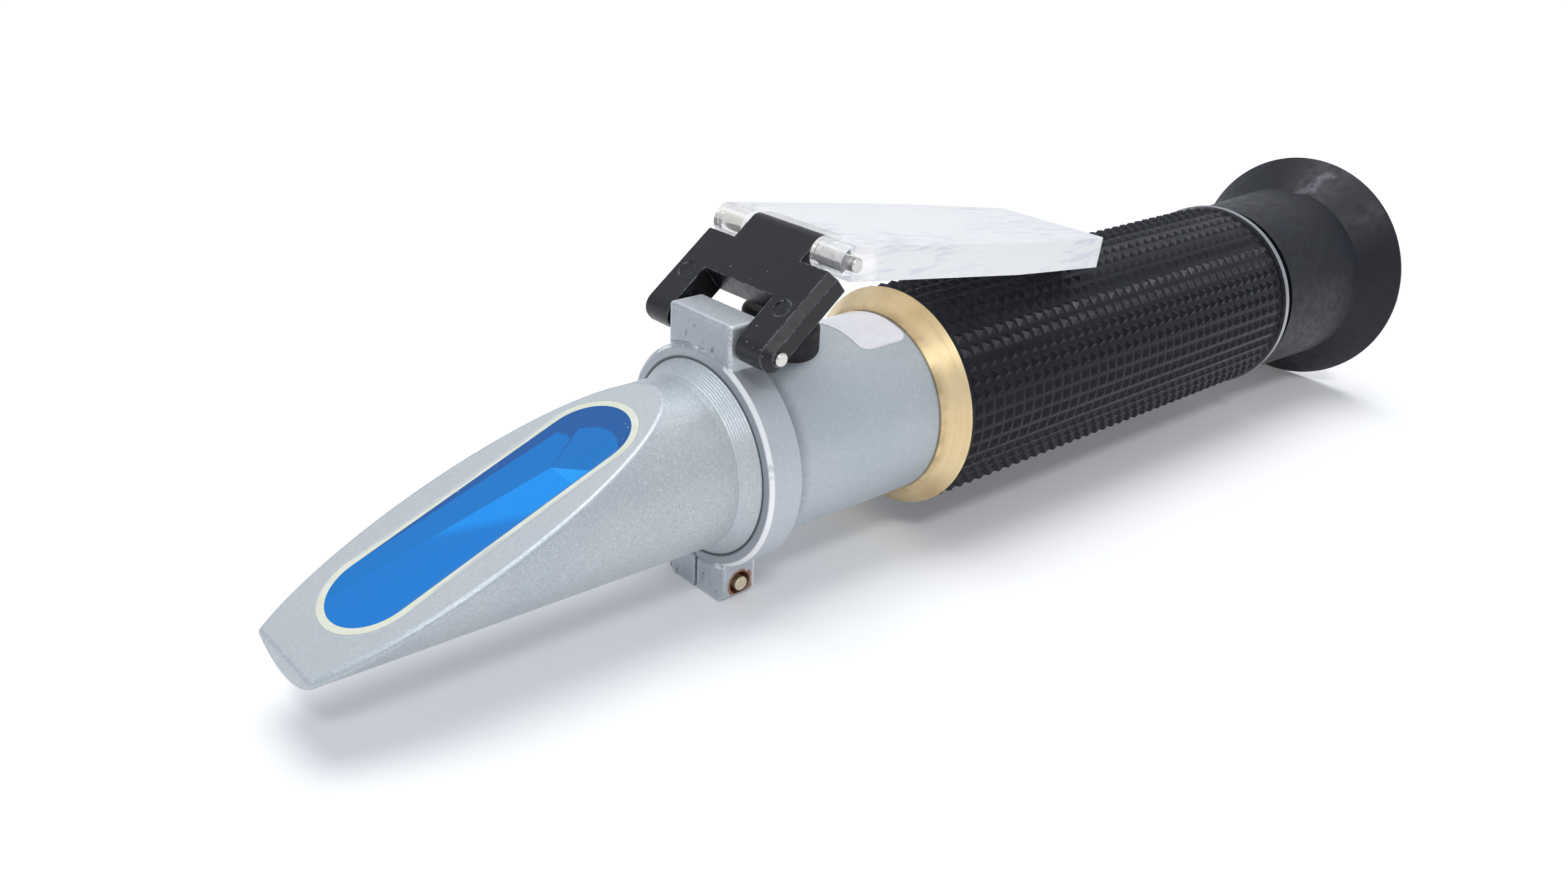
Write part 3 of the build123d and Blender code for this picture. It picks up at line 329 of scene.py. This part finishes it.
def collar_marks_and_shading(s, base, flake):
    """The marks of the hinge collar and the light and shade painted on it: its faces and edges, its block,
    and rust at its clamp screw.
    """
    base = collar_faces_shading(s, base)
    base = block_marks_and_shade(s, base)
    return rust(s, base), flake


def collar_faces_shading(s, base):
    """Painted shade on the front face, its front edge worn bare and painted bright as a highlight, a
    painted highlight on the rear edge, and painted shade round the flange.
    """
    base = s.mix(0.45, base, linear(204, 207, 214))
    # Painted shade: the front face darkened, where it faces forward behind the flange.
    front = s.ramp(s.part("X"), COLLAR_X + 0.3 * MM, COLLAR_X + 0.1 * MM)
    base = s.mix(s.times(front, 0.4), base, linear(132, 141, 150))
    # Painted highlight: a pale line along the rear edge.
    rear = s.ramp(s.part("X"), collar_high.x - 0.35 * MM, collar_high.x - 0.15 * MM)
    base = s.mix(s.times(rear, 0.7), base, linear(240, 243, 246))
    # The front edge painted near white: worn bare metal with a painted highlight, stronger towards the near
    # side.
    along = s.ramp(s.part("X"), COLLAR_X + 0.5 * MM, COLLAR_X + 0.4 * MM)
    inner = s.ramp(s.radius(), COLLAR_R - 1.25 * COLLAR_EDGE, COLLAR_R - COLLAR_EDGE)
    outer = s.ramp(s.radius(), COLLAR_R + COLLAR_EDGE, COLLAR_R + 0.5 * COLLAR_EDGE)
    more = s.ramp(s.part("Y"), -3 * MM, -8 * MM, 0.0, 0.22)
    patches = s.ramp(s.math("ADD", s.noise(260, 4, 0.6), more), 0.54, 0.62)
    base = s.mix(s.times(along, inner, outer, patches), base, linear(253, 254, 255))
    # Painted shade: a dark ring on the front face round the flange, where the two parts meet.
    gap = s.times(s.ramp(s.radius(), FLANGE_R + 0.45 * MM, FLANGE_R + 0.2 * MM), front)
    return s.mix(s.times(gap, 0.85), base, linear(52, 56, 62))


def block_marks_and_shade(s, base):
    """The hinge block's grainy white edges, a dark line of painted shade at its foot, and strokes scratched
    in its front.
    """
    block = s.ramp(s.radius(), COLLAR_R + 0.3 * MM, COLLAR_R + 0.6 * MM)
    grain = s.math("ADD", s.noise(3600, 3), s.ramp(s.noise(420, 3), 0.35, 0.65, -0.12, 0.08))
    rubbed = s.times(s.edges(BLOCK_WEAR), s.ramp(grain, 0.44, 0.52), block)
    base = s.mix(s.times(rubbed, 0.95), base, linear(252, 253, 254))
    front = s.facing(FORWARD, 0.9, 0.95)
    width = s.ramp(s.math("ABSOLUTE", s.part("Y")), BLOCK_HALF + 0.2 * MM, BLOCK_HALF)
    above = s.ramp(s.part("Z"), AXIS_Z, AXIS_Z + 1 * MM)
    # Painted shade: a dark line where the block's front face meets the collar ring.
    foot = s.ramp(s.radius(), COLLAR_R + 0.55 * MM, COLLAR_R + 0.15 * MM)
    foot = s.times(foot, s.ramp(s.radius(), COLLAR_R - 0.2 * MM, COLLAR_R), front, width, above)
    base = s.mix(s.times(foot, 0.7), base, linear(88, 94, 102))
    strokes = s.ramp(s.noise(1.0, 2, 0.5, s.scaled((700, 1900, 560))), 0.66, 0.69)
    return s.mix(s.times(strokes, front, block, 0.7), base, linear(84, 88, 96))


def rust(s, base):
    """A ragged rust stain round the clamp screw's hole."""
    off = s.math("SUBTRACT", s.part("X"), SCREW_MIDDLE.x)
    rise = s.math("SUBTRACT", s.part("Z"), SCREW_MIDDLE.z)
    ragged = s.ramp(s.noise(900, 3), 0.3, 0.7, -0.25 * MM, 0.25 * MM)
    reach = s.math("ADD", s.length(off, rise), ragged)
    stain = s.ramp(reach, SCREW_HOLE + 0.25 * MM, SCREW_HOLE + 0.05 * MM)
    return s.mix(s.times(stain, 0.85), base, linear(164, 98, 54))


def tube_marks_and_shade(s, base, flake):
    """A cooler tone, painted shade where the tube leaves the collar, and a darker band just in front of the
    ferrule.
    """
    base = s.mix(0.35, base, linear(184, 195, 206))
    # Painted shade on the tube next to the collar, and a darker band just in front of the ferrule.
    near = s.ramp(s.part("X"), collar_high.x + 2.6 * MM, collar_high.x + 0.8 * MM)
    far = s.ramp(s.part("X"), ferrule_low.x - 0.3 * MM, ferrule_low.x)
    seam = s.times(s.math("MAXIMUM", near, far), s.ramp(s.noise(300, 3), 0.3, 0.6, 0.3, 0.6))
    return s.mix(seam, base, linear(104, 109, 118)), flake


def on_face(along, across):
    """A point of the sample face, given in millimetres."""
    return (along * MM, across * MM)


# The blue prism's facets: where its two slopes meet, the notch, and the lines that part the rest
SLOPES_MEET = on_face(33.5, -0.95)
NOTCH = on_face(37.8, 1.28)
SHADE_LINE = (on_face(20.2, 0.8), on_face(27.2, -5.3))
SLOPES_LINE = (on_face(16.3, 1.78), SLOPES_MEET)
CORNER_LINE = (on_face(33.3, -5.5), SLOPES_MEET)
LOBE_LINE = (on_face(35.6, -5.2), SLOPES_MEET)
NOTCH_LINE = (SLOPES_MEET, NOTCH)
FOLD_LINE = (on_face(33.5, -1.0), on_face(37.8, 1.05))
WALL_LINE = (on_face(15.0, 5.4), on_face(35.0, 3.9))
SLOPE_END_LINE = (on_face(38.3, 3.4), on_face(37.7, 1.0))
LOBE_MIDDLE = on_face(36.5, -1.85)
LOBE_R = 4.65 * MM
LOBE_START = 37.6 * MM
NEAR_RIM = -5.05 * MM


def prism_blue():
    """The blue prism under its polished face: the neck's wall, and the facets that show below it, painted
    in lit and shaded tones of one blue.
    """
    s = Shader("prism_glass")
    along = s.along_face()
    across = s.part("Y")
    base, before_notch = prism_slopes(s, along, across)
    wall = neck_wall(s, along, across, before_notch)
    # Painted shade: the neck's wall in the darkest blue.
    base = s.mix(wall, base, linear(30, 94, 166))
    reach = window_reach(s)[0]
    specks = s.times(s.ramp(s.noise(1500, 1), 0.75, 0.78), s.ramp(reach, 4.9 * MM, 5.3 * MM))
    base = s.mix(s.times(specks, 0.8), base, linear(214, 232, 244))
    rim = s.ramp(across, NEAR_RIM, NEAR_RIM - 0.45 * MM, 0.0, 0.5)
    s.put("Base Color", s.mix(rim, base, linear(70, 130, 196)))
    s.put("Roughness", s.ramp(s.noise(300, 2), 0.3, 0.7, 0.04, 0.09))
    s.put("Specular IOR Level", 0.25)
    return s.material


def prism_slopes(s, along, across):
    """The colours of the two slopes, the corner facet, the upper lobe and the fold into the notch, painted
    as lit and shaded tones of the blue.
    """
    shade, lobe, middle = linear(30, 94, 166), linear(14, 120, 202), linear(10, 122, 205)
    bright, corner, lower = linear(12, 150, 243), linear(28, 162, 252), linear(12, 126, 214)
    # Bright near slope, less bright past a soft slanting shade, and the far slope
    base = s.mix(s.side(along, across, SHADE_LINE, 1.6 * MM), lower, bright)
    base = s.mix(s.side(along, across, SLOPES_LINE, 0.12 * MM), base, middle)
    # The corner facet and the upper lobe, past two lines from the point where the slopes meet
    past_low = s.math("SUBTRACT", 1.0, s.side(along, across, CORNER_LINE, 0.05 * MM))
    past_high = s.math("SUBTRACT", 1.0, s.side(along, across, LOBE_LINE, 0.08 * MM))
    before_notch = s.side(along, across, NOTCH_LINE, 0.05 * MM)
    past_notch = s.math("SUBTRACT", 1.0, before_notch)
    base = s.mix(s.times(past_low, past_notch), base, corner)
    base = s.mix(s.times(past_high, past_notch), base, lobe)
    # The fold between the slopes, widening into the notch
    fold = s.math("SUBTRACT", s.side(along, across, FOLD_LINE, 0.06 * MM), before_notch)
    start = s.ramp(along, SLOPES_MEET[0], SLOPES_MEET[0] + 0.3 * MM)
    return s.mix(s.times(s.ramp(fold, 0.3, 0.6), start), base, shade), before_notch


def neck_wall(s, along, across, before_notch):
    """1 on the neck's wall: along the far edge, past the left slope's end and round the upper lobe."""
    far = s.side(along, across, WALL_LINE, 0.12 * MM)
    left_end = s.times(s.side(along, across, SLOPE_END_LINE, 0.1 * MM), before_notch)
    from_middle = [s.math("SUBTRACT", value, place) for value, place in zip((along, across), LOBE_MIDDLE)]
    round_end = s.ramp(s.length(*from_middle), LOBE_R, LOBE_R + 0.15 * MM)
    round_end = s.times(round_end, s.ramp(along, LOBE_START, LOBE_START + 0.3 * MM))
    return s.math("MAXIMUM", far, s.math("MAXIMUM", left_end, round_end))


def window_reach(s):
    """How far a point of the sample face is from the window's middle line, and how far along it lies."""
    along = s.along_face()
    past = s.math("SUBTRACT", along, s.ramp(along, WINDOW_LOW, WINDOW_HIGH, WINDOW_LOW, WINDOW_HIGH))
    across = s.math("ADD", s.part("Y"), s.ramp(s.noise(260, 2), 0.3, 0.7, -0.2 * MM, 0.2 * MM))
    return s.length(past, across), along


def sealant():
    """Cream bead with an uneven surface, wiped thin along the window's sides."""
    s = Shader("sealant")
    base = s.mix(s.ramp(s.noise(500, 3), 0.35, 0.7), linear(228, 232, 210), linear(238, 240, 230))
    reach, along = window_reach(s)
    wiped = s.times(s.ramp(reach, WINDOW_HALF + 0.38 * MM, WINDOW_HALF + 0.52 * MM),
                    s.ramp(along, WINDOW_LOW, WINDOW_LOW + 5 * MM),
                    s.ramp(along, WINDOW_HIGH + 2 * MM, WINDOW_HIGH - 2 * MM))
    s.put("Base Color", s.mix(s.times(wiped, 0.85), base, linear(200, 205, 209)))
    s.put("Roughness", 0.42)
    s.bump(s.noise(700, 3), 0.05 * MM, 0.8)
    return s.material


def black_plastic(name="black_plastic"):
    """Moulded black plastic with a fine grain, scuffed pale edges and specks of dust."""
    s = Shader(name)
    base = s.mix(s.ramp(s.noise(260, 3), 0.3, 0.7), linear(19, 19, 21), linear(25, 25, 28))
    dust = s.math("MAXIMUM", s.dots(620, 0.07, 0.35), s.dots(1500, 0.1, 0.12))
    base = s.mix(s.times(dust, 0.8), base, linear(196, 198, 202))
    wear = s.times(s.edges(0.24 * MM), s.ramp(s.noise(900, 5, 0.65), 0.46, 0.58))
    s.put("Base Color", s.mix(s.times(wear, 0.75), base, linear(176, 179, 184)))
    s.put("Roughness", s.ramp(s.noise(900, 3), 0.3, 0.7, 0.30, 0.44))
    s.put("Specular IOR Level", 0.4)
    s.bump(s.noise(PLASTIC_GRAIN, 2), 0.012 * MM, 0.6, 0.08 * MM)
    return s.material


def turned_metal(name, colour, other, rough, metallic=1.0, dress=None):
    """Metal turned on a lathe: fine rings about the optical axis, and slow faint changes of tone."""
    s = Shader(name)
    rings = s.noise(1.0, 2, 0.6, s.scaled((LATHE_RINGS, LATHE_TURN, LATHE_TURN)))
    base = s.mix(s.ramp(s.noise(170, 3), 0.35, 0.75, 0.0, 0.6), colour, other)
    base = s.mix(s.ramp(rings, 0.35, 0.65, 0.0, 0.18), base, other)
    if dress:
        base = dress(s, base)
    s.put("Base Color", base)
    s.put("Metallic", metallic)
    s.put("Roughness", s.ramp(rings, 0.3, 0.7, rough - 0.06, rough + 0.08))
    s.bump(rings, 0.015 * MM, 0.4, 0.06 * MM)
    return s.material


def ferrule_marks(s, base):
    """Darker stains on the ferrule next to the tube."""
    near = s.ramp(s.part("X"), ferrule_low.x + 1.1 * MM, ferrule_low.x + 0.1 * MM)
    stain = s.times(near, s.ramp(s.noise(330, 4), 0.42, 0.62))
    return s.mix(s.times(stain, 0.5), base, linear(140, 112, 72))


def rubber(name, low, high, rough=0.62, shine=0.4, dress=None):
    """Black rubber or rubber-like plastic with a fine grain."""
    s = Shader(name)
    base = s.mix(s.ramp(s.noise(180, 4), 0.35, 0.7), low, high)
    if dress:
        base = dress(s, base)
    s.put("Base Color", base)
    s.put("Roughness", s.ramp(s.noise(700, 3), 0.3, 0.7, rough - 0.08, rough + 0.1))
    s.put("Specular IOR Level", shine)
    s.bump(s.noise(RUBBER_GRAIN, 2), 0.015 * MM, 0.6)
    return s.material


def cup_marks(s, base):
    """A dusty streak up the eyecup's flare."""
    lean = s.math("ADD", s.part("Y"), s.times(s.part("X"), STREAK_LEAN))
    off = s.math("ABSOLUTE", s.math("SUBTRACT", lean, STREAK_Y + STREAK_X * STREAK_LEAN))
    ragged = s.ramp(s.noise(500, 3), 0.3, 0.7, -0.5 * MM, 0.5 * MM)
    streak = s.ramp(s.math("ADD", off, ragged), 1.3 * MM, 0.5 * MM)
    from_middle = s.math("ABSOLUTE", s.math("SUBTRACT", s.part("X"), STREAK_X))
    streak = s.times(streak, s.ramp(from_middle, STREAK_HALF, STREAK_HALF - 0.8 * MM))
    streak = s.times(streak, s.ramp(s.part("Z"), AXIS_Z, AXIS_Z + 8 * MM))
    streak = s.times(streak, s.ramp(s.noise(1500, 3), 0.35, 0.6, 0.35, 0.9))
    return s.mix(streak, base, linear(112, 102, 116))


def lens_glass():
    """Clear glass with a faint green tint."""
    s = Shader("lens_glass")
    s.put("Base Color", linear(246, 252, 250))
    s.put("Transmission Weight", 1.0)
    s.put("IOR", 1.49)
    s.put("Roughness", 0.02)
    return s.material


def label_film():
    """White film with a faint grain."""
    s = Shader("label")
    tone = s.ramp(s.noise(900, 3), 0.3, 0.7)
    s.put("Base Color", s.mix(tone, linear(232, 232, 240), linear(240, 240, 246)))
    s.put("Roughness", 0.3)
    s.bump(s.noise(3000, 2), 0.01 * MM, 0.5)
    return s.material


def daylight_plate():
    """Clear plastic painted nearly white and milky as a highlight for its glare, with stringy pale streaks,
    clear at its knuckles.
    """
    s = Shader("clear_plate")
    streaks = s.noise(1.0, 6, 0.6, s.scaled((110, 1300, 1300)))
    streaks = s.times(s.ramp(streaks, 0.52, 0.56), s.ramp(s.noise(60, 2), 0.46, 0.56))
    # Painted highlight: the body nearly white and little transmitting, standing in for glare on the clear
    # plate.
    s.put("Base Color", s.mix(s.times(streaks, 0.4), linear(255, 255, 255), linear(196, 206, 230)))
    body = s.ramp(s.part("X"), plate_low.x + KNUCKLE_REACH, plate_low.x + KNUCKLE_REACH + 1.5 * MM)
    s.put("Transmission Weight", s.ramp(body, 0.0, 1.0, 0.9, 0.15))
    s.put("Roughness", s.ramp(s.noise(240, 3), 0.3, 0.7, 0.05, 0.14))
    s.put("IOR", 1.49)
    s.bump(s.noise(900, 2), 0.01 * MM, 0.3)
    s.pass_lamps(0.8)
    return s.material


# Finishes by material slot
FINISHES = {
    "silver_paint": silver_paint(),
    "prism_glass": prism_blue(),
    "sealant": sealant(),
    "black_plastic": black_plastic(),
    "bracket_plastic": black_plastic("bracket_plastic"),
    "screw_brass": turned_metal("screw_brass", linear(236, 226, 200), linear(206, 186, 146), 0.32, 0.7),
    "steel": turned_metal("steel", linear(222, 220, 214), linear(190, 188, 182), 0.26),
    "clear_plate": daylight_plate(),
    "brass": turned_metal("brass", linear(240, 217, 172), linear(206, 172, 118), 0.33, 0.75, ferrule_marks),
    "grip_black": rubber("grip_black", linear(10, 12, 20), linear(15, 18, 28), 0.27, 0.22),
    "bare_aluminium": turned_metal("bare_aluminium", linear(180, 180, 184), linear(146, 146, 150), 0.34),
    "cap_rubber": rubber("cap_rubber", linear(17, 17, 19), linear(24, 24, 27)),
    "black_aluminium": turned_metal("black_aluminium", linear(28, 28, 31), linear(38, 38, 42), 0.4, 0.6),
    "lens_glass": lens_glass(),
    "bimetal": turned_metal("bimetal", linear(176, 164, 142), linear(150, 140, 124), 0.38),
    "eyecup_rubber": rubber("eyecup_rubber", linear(15, 17, 25), linear(20, 23, 33), 0.46, 0.35, cup_marks),
    "label": label_film(),
}
# Nodes whose finish has marks, and painted light and shade, of its own
OWN_FINISHES = {
    "prism_housing": silver_paint("housing_paint", housing_marks_and_light),
    "hinge_collar": silver_paint("collar_paint", collar_marks_and_shading),
    "body_tube": silver_paint("tube_paint", tube_marks_and_shade),
}

for row in frame["record"]["subparts"]:
    mesh = frame["nodes"][row["node"]].data
    mesh.materials.clear()
    mesh.materials.append(OWN_FINISHES.get(row["node"]) or FINISHES[row["material_slot"]])


def add_piece(name, bm, slot, body, smooth):
    """Turns mesh data into a piece that rides on a body and wears a slot's finish."""
    bmesh.ops.recalc_face_normals(bm, faces=bm.faces)
    mesh = bpy.data.meshes.new(name)
    bm.to_mesh(mesh)
    bm.free()
    for face in mesh.polygons:
        face.use_smooth = smooth
    mesh.materials.append(FINISHES[slot])
    piece = bpy.data.objects.new(name, mesh)
    bpy.context.scene.collection.objects.link(piece)
    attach(piece, body)
    return piece


def on_axis(x, radius, angle):
    """A point round the optical axis; the angle runs from the top towards -Y."""
    return (x, -radius * sin(angle), AXIS_Z + radius * cos(angle))


# Knurled grip: rows of small pyramids behind a plain front band, and a narrow slope at the rear
KNURL_ROUND = 47
KNURL_PITCH = 2.07 * MM
KNURL_DEPTH = 0.5 * MM
KNURL_TOP = 0.05
KNURL_GROOVE = 0.26
BAND_LENGTH = 0.9 * MM
BAND_R = 14.72 * MM
BAND_EDGE = 0.2 * MM
REAR_SLOPE = 0.25 * MM
# Points closer than this are one
WELD = 0.001 * MM


def knurl_cell(bm, x, pitch, angle, turn):
    """One pyramid: a groove-level base and a small top, joined by four slopes."""
    rings = []
    for inset, radius in ((0.0, GRIP_R - KNURL_DEPTH), (KNURL_GROOVE / 2, GRIP_R - KNURL_DEPTH),
                          ((1 - KNURL_TOP) / 2, GRIP_R)):
        ring = []
        for i, j in ((inset, inset), (1 - inset, inset), (1 - inset, 1 - inset), (inset, 1 - inset)):
            ring.append(bm.verts.new(on_axis(x + i * pitch, radius, angle + j * turn)))
        rings.append(ring)
    for low, high in zip(rings, rings[1:]):
        for k in range(4):
            bm.faces.new((low[k], low[(k + 1) % 4], high[(k + 1) % 4], high[k]))
    bm.faces.new(rings[-1])


def add_grip():
    """The grip's knurled mesh, closed by its front band, its rear slope and its bore."""
    bm = bmesh.new()
    start = grip_low.x + BAND_LENGTH
    length = grip_high.x - grip_low.x - BAND_LENGTH - REAR_SLOPE
    rows = round(length / KNURL_PITCH)
    pitch = length / rows
    turn = 2 * pi / KNURL_ROUND
    for row in range(rows):
        for column in range(KNURL_ROUND):
            knurl_cell(bm, start + row * pitch, pitch, column * turn, turn)
    profile = [
        (start, GRIP_R - KNURL_DEPTH),
        (start, BAND_R),
        (grip_low.x + BAND_EDGE, BAND_R),
        (grip_low.x, BAND_R - BAND_EDGE),
        (grip_low.x, GRIP_BORE_R),
        (grip_high.x, GRIP_BORE_R),
        (grip_high.x, GRIP_R - KNURL_DEPTH - REAR_SLOPE),
        (start + length, GRIP_R - KNURL_DEPTH),
    ]
    rings = []
    for x, radius in profile:
        rings.append([bm.verts.new(on_axis(x, radius, k * turn)) for k in range(KNURL_ROUND)])
    for ring, after in zip(rings, rings[1:]):
        for k in range(KNURL_ROUND):
            beside = (k + 1) % KNURL_ROUND
            bm.faces.new((ring[k], ring[beside], after[beside], after[k]))
    bmesh.ops.remove_doubles(bm, verts=bm.verts, dist=WELD)
    grip = add_piece("knurled_grip", bm, "grip_black", "instrument", smooth=False)
    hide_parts("grip_sleeve")


# Bare label on the tube, in front of the ferrule
LABEL_FRONT = 21.5 * MM
LABEL_REAR = 29.7 * MM
LABEL_HALF_ANGLE = radians(29)
LABEL_CORNER = 1.5 * MM
LABEL_THICKNESS = 0.08 * MM
LABEL_STEPS = 6
LABEL_AROUND = 24


def add_label():
    """A film with round corners that follows the tube."""
    bm = bmesh.new()
    length = LABEL_REAR - LABEL_FRONT
    inset = [LABEL_CORNER * (1 - cos(pi / 2 * k / LABEL_STEPS)) for k in range(LABEL_STEPS + 1)]
    stations = inset + [length - d for d in reversed(inset)]
    top_grid, low_grid = [], []
    for d in stations:
        near = min(d, length - d, LABEL_CORNER)
        cut = LABEL_CORNER - (LABEL_CORNER**2 - (LABEL_CORNER - near) ** 2) ** 0.5
        half = LABEL_HALF_ANGLE - cut / TUBE_R
        x = COLLAR_X + LABEL_FRONT + d
        angles = [half * (2 * k / LABEL_AROUND - 1) for k in range(LABEL_AROUND + 1)]
        top_grid.append([bm.verts.new(on_axis(x, TUBE_R + LABEL_THICKNESS, a)) for a in angles])
        low_grid.append([bm.verts.new(on_axis(x, TUBE_R, a)) for a in angles])
    for grid in (top_grid, low_grid):
        for row, after in zip(grid, grid[1:]):
            for k in range(LABEL_AROUND):
                bm.faces.new((row[k], row[k + 1], after[k + 1], after[k]))
    for k in range(LABEL_AROUND):
        for r in (0, -1):
            bm.faces.new((top_grid[r][k], top_grid[r][k + 1], low_grid[r][k + 1], low_grid[r][k]))
    for r in range(len(stations) - 1):
        for k in (0, -1):
            bm.faces.new((top_grid[r][k], top_grid[r + 1][k], low_grid[r + 1][k], low_grid[r][k]))
    add_piece("tube_label", bm, "label", "instrument", smooth=True)


# Camera: the photograph's pinhole, fitted to the object's edges
CAMERA_PLACE = Vector((-135.581, -115.184, 89.949)) * MM
CAMERA_AIM = Vector((-32.294, -2.331, 20.0)) * MM
CAMERA_ROLL = radians(2.8516)
LENS_MM = 30.66
SENSOR_MM = 36.0
NEAREST = 0.01
FARTHEST = 20.0


def add_camera():
    """Places the camera where the photograph was taken from."""
    data = bpy.data.cameras.new("camera")
    data.lens = LENS_MM
    data.sensor_width = SENSOR_MM
    data.clip_start = NEAREST
    data.clip_end = FARTHEST
    camera = bpy.data.objects.new("camera", data)
    bpy.context.scene.collection.objects.link(camera)
    ahead = (CAMERA_AIM - CAMERA_PLACE).normalized()
    level_right = ahead.cross(Vector((0, 0, 1))).normalized()
    level_up = level_right.cross(ahead)
    right = cos(CAMERA_ROLL) * level_right + sin(CAMERA_ROLL) * level_up
    up = -sin(CAMERA_ROLL) * level_right + cos(CAMERA_ROLL) * level_up
    turn = Matrix((right, up, -ahead)).transposed().to_4x4()
    camera.matrix_world = Matrix.Translation(CAMERA_PLACE) @ turn
    bpy.context.scene.camera = camera


# Colours of the floor's lift and of the world, by the kind of ray that meets them
FLOOR_HALF = 3.0
FLOOR_LIFT = (0.11, 0.11, 0.11, 1.0)
WORLD_DIFFUSE = (0.33, 0.35, 0.385, 1.0)
WORLD_GLOSSY = (0.66, 0.69, 0.74, 1.0)
WHITE = (1.0, 1.0, 1.0, 1.0)
BLACK = (0.0, 0.0, 0.0, 1.0)


def by_ray(tree, levels, rest):
    """A colour that depends on the kind of ray that asks for it."""
    path = tree.nodes.new("ShaderNodeLightPath")
    colour = rest
    for ray, level in levels:
        choose = tree.nodes.new("ShaderNodeMix")
        choose.data_type = "RGBA"
        tree.links.new(path.outputs[ray], choose.inputs["Factor"])
        if isinstance(colour, tuple):
            choose.inputs[6].default_value = colour
        else:
            tree.links.new(colour, choose.inputs[6])
        choose.inputs[7].default_value = level
        colour = choose.outputs[2]
    return colour


def add_floor():
    """A pale table that touches the clamp lugs and the eyecup's rim."""
    bm = bmesh.new()
    ends = (-FLOOR_HALF, FLOOR_HALF)
    corners = [(ends[0], ends[0], 0), (ends[1], ends[0], 0), (ends[1], ends[1], 0), (ends[0], ends[1], 0)]
    bm.faces.new([bm.verts.new(corner) for corner in corners])
    mesh = bpy.data.meshes.new("floor")
    bm.to_mesh(mesh)
    bm.free()
    floor = bpy.data.objects.new("floor", mesh)
    bpy.context.scene.collection.objects.link(floor)
    tilt = atan2(collar_low.z - cup_low.z, cup_high.x - collar_low.x)
    floor.matrix_world = Matrix.Translation((cup_high.x, 0, 0)) @ Matrix.Rotation(tilt, 4, "Y")
    s = Shader("floor")
    s.put("Base Color", linear(254, 254, 255))
    s.put("Specular IOR Level", 0.0)
    s.put("Roughness", 0.9)
    seen = [(ray, FLOOR_LIFT) for ray in ("Is Glossy Ray", "Is Transmission Ray", "Is Camera Ray")]
    s.put("Emission Color", by_ray(s.tree, seen, BLACK))
    s.put("Emission Strength", 1.0)
    mesh.materials.append(s.material)


def add_world():
    """White to the camera and through glass, less in gloss, and a lower bluish light elsewhere."""
    world = bpy.data.worlds.new("studio")
    bpy.context.scene.world = world
    world.use_nodes = True
    tree = world.node_tree
    background = tree.nodes["Background"]
    seen = (("Is Glossy Ray", WORLD_GLOSSY), ("Is Transmission Ray", WHITE), ("Is Camera Ray", WHITE))
    tree.links.new(by_ray(tree, seen, WORLD_DIFFUSE), background.inputs["Color"])
    background.inputs["Strength"].default_value = 1.0


# Lamps: the direction that the light comes from, the angle that it fills in degrees, and its power
LAMPS = {
    "overhead": ((0.1, 0.12, 1.0), 42, 1.55),
    "window": ((-0.314, -0.557, 0.770), 10, 0.6),
}


def add_lamp(name, source, spread, power):
    """An even soft light from a direction."""
    data = bpy.data.lights.new(name, "SUN")
    data.angle = radians(spread)
    data.energy = power
    lamp = bpy.data.objects.new(name, data)
    bpy.context.scene.collection.objects.link(lamp)
    lamp.matrix_world = Vector(source).to_track_quat("Z", "Y").to_matrix().to_4x4()


add_grip()
add_label()
add_camera()
add_floor()
add_world()
for lamp_name, lamp_values in LAMPS.items():
    add_lamp(lamp_name, *lamp_values)
bpy.context.scene.view_settings.view_transform = "Standard"
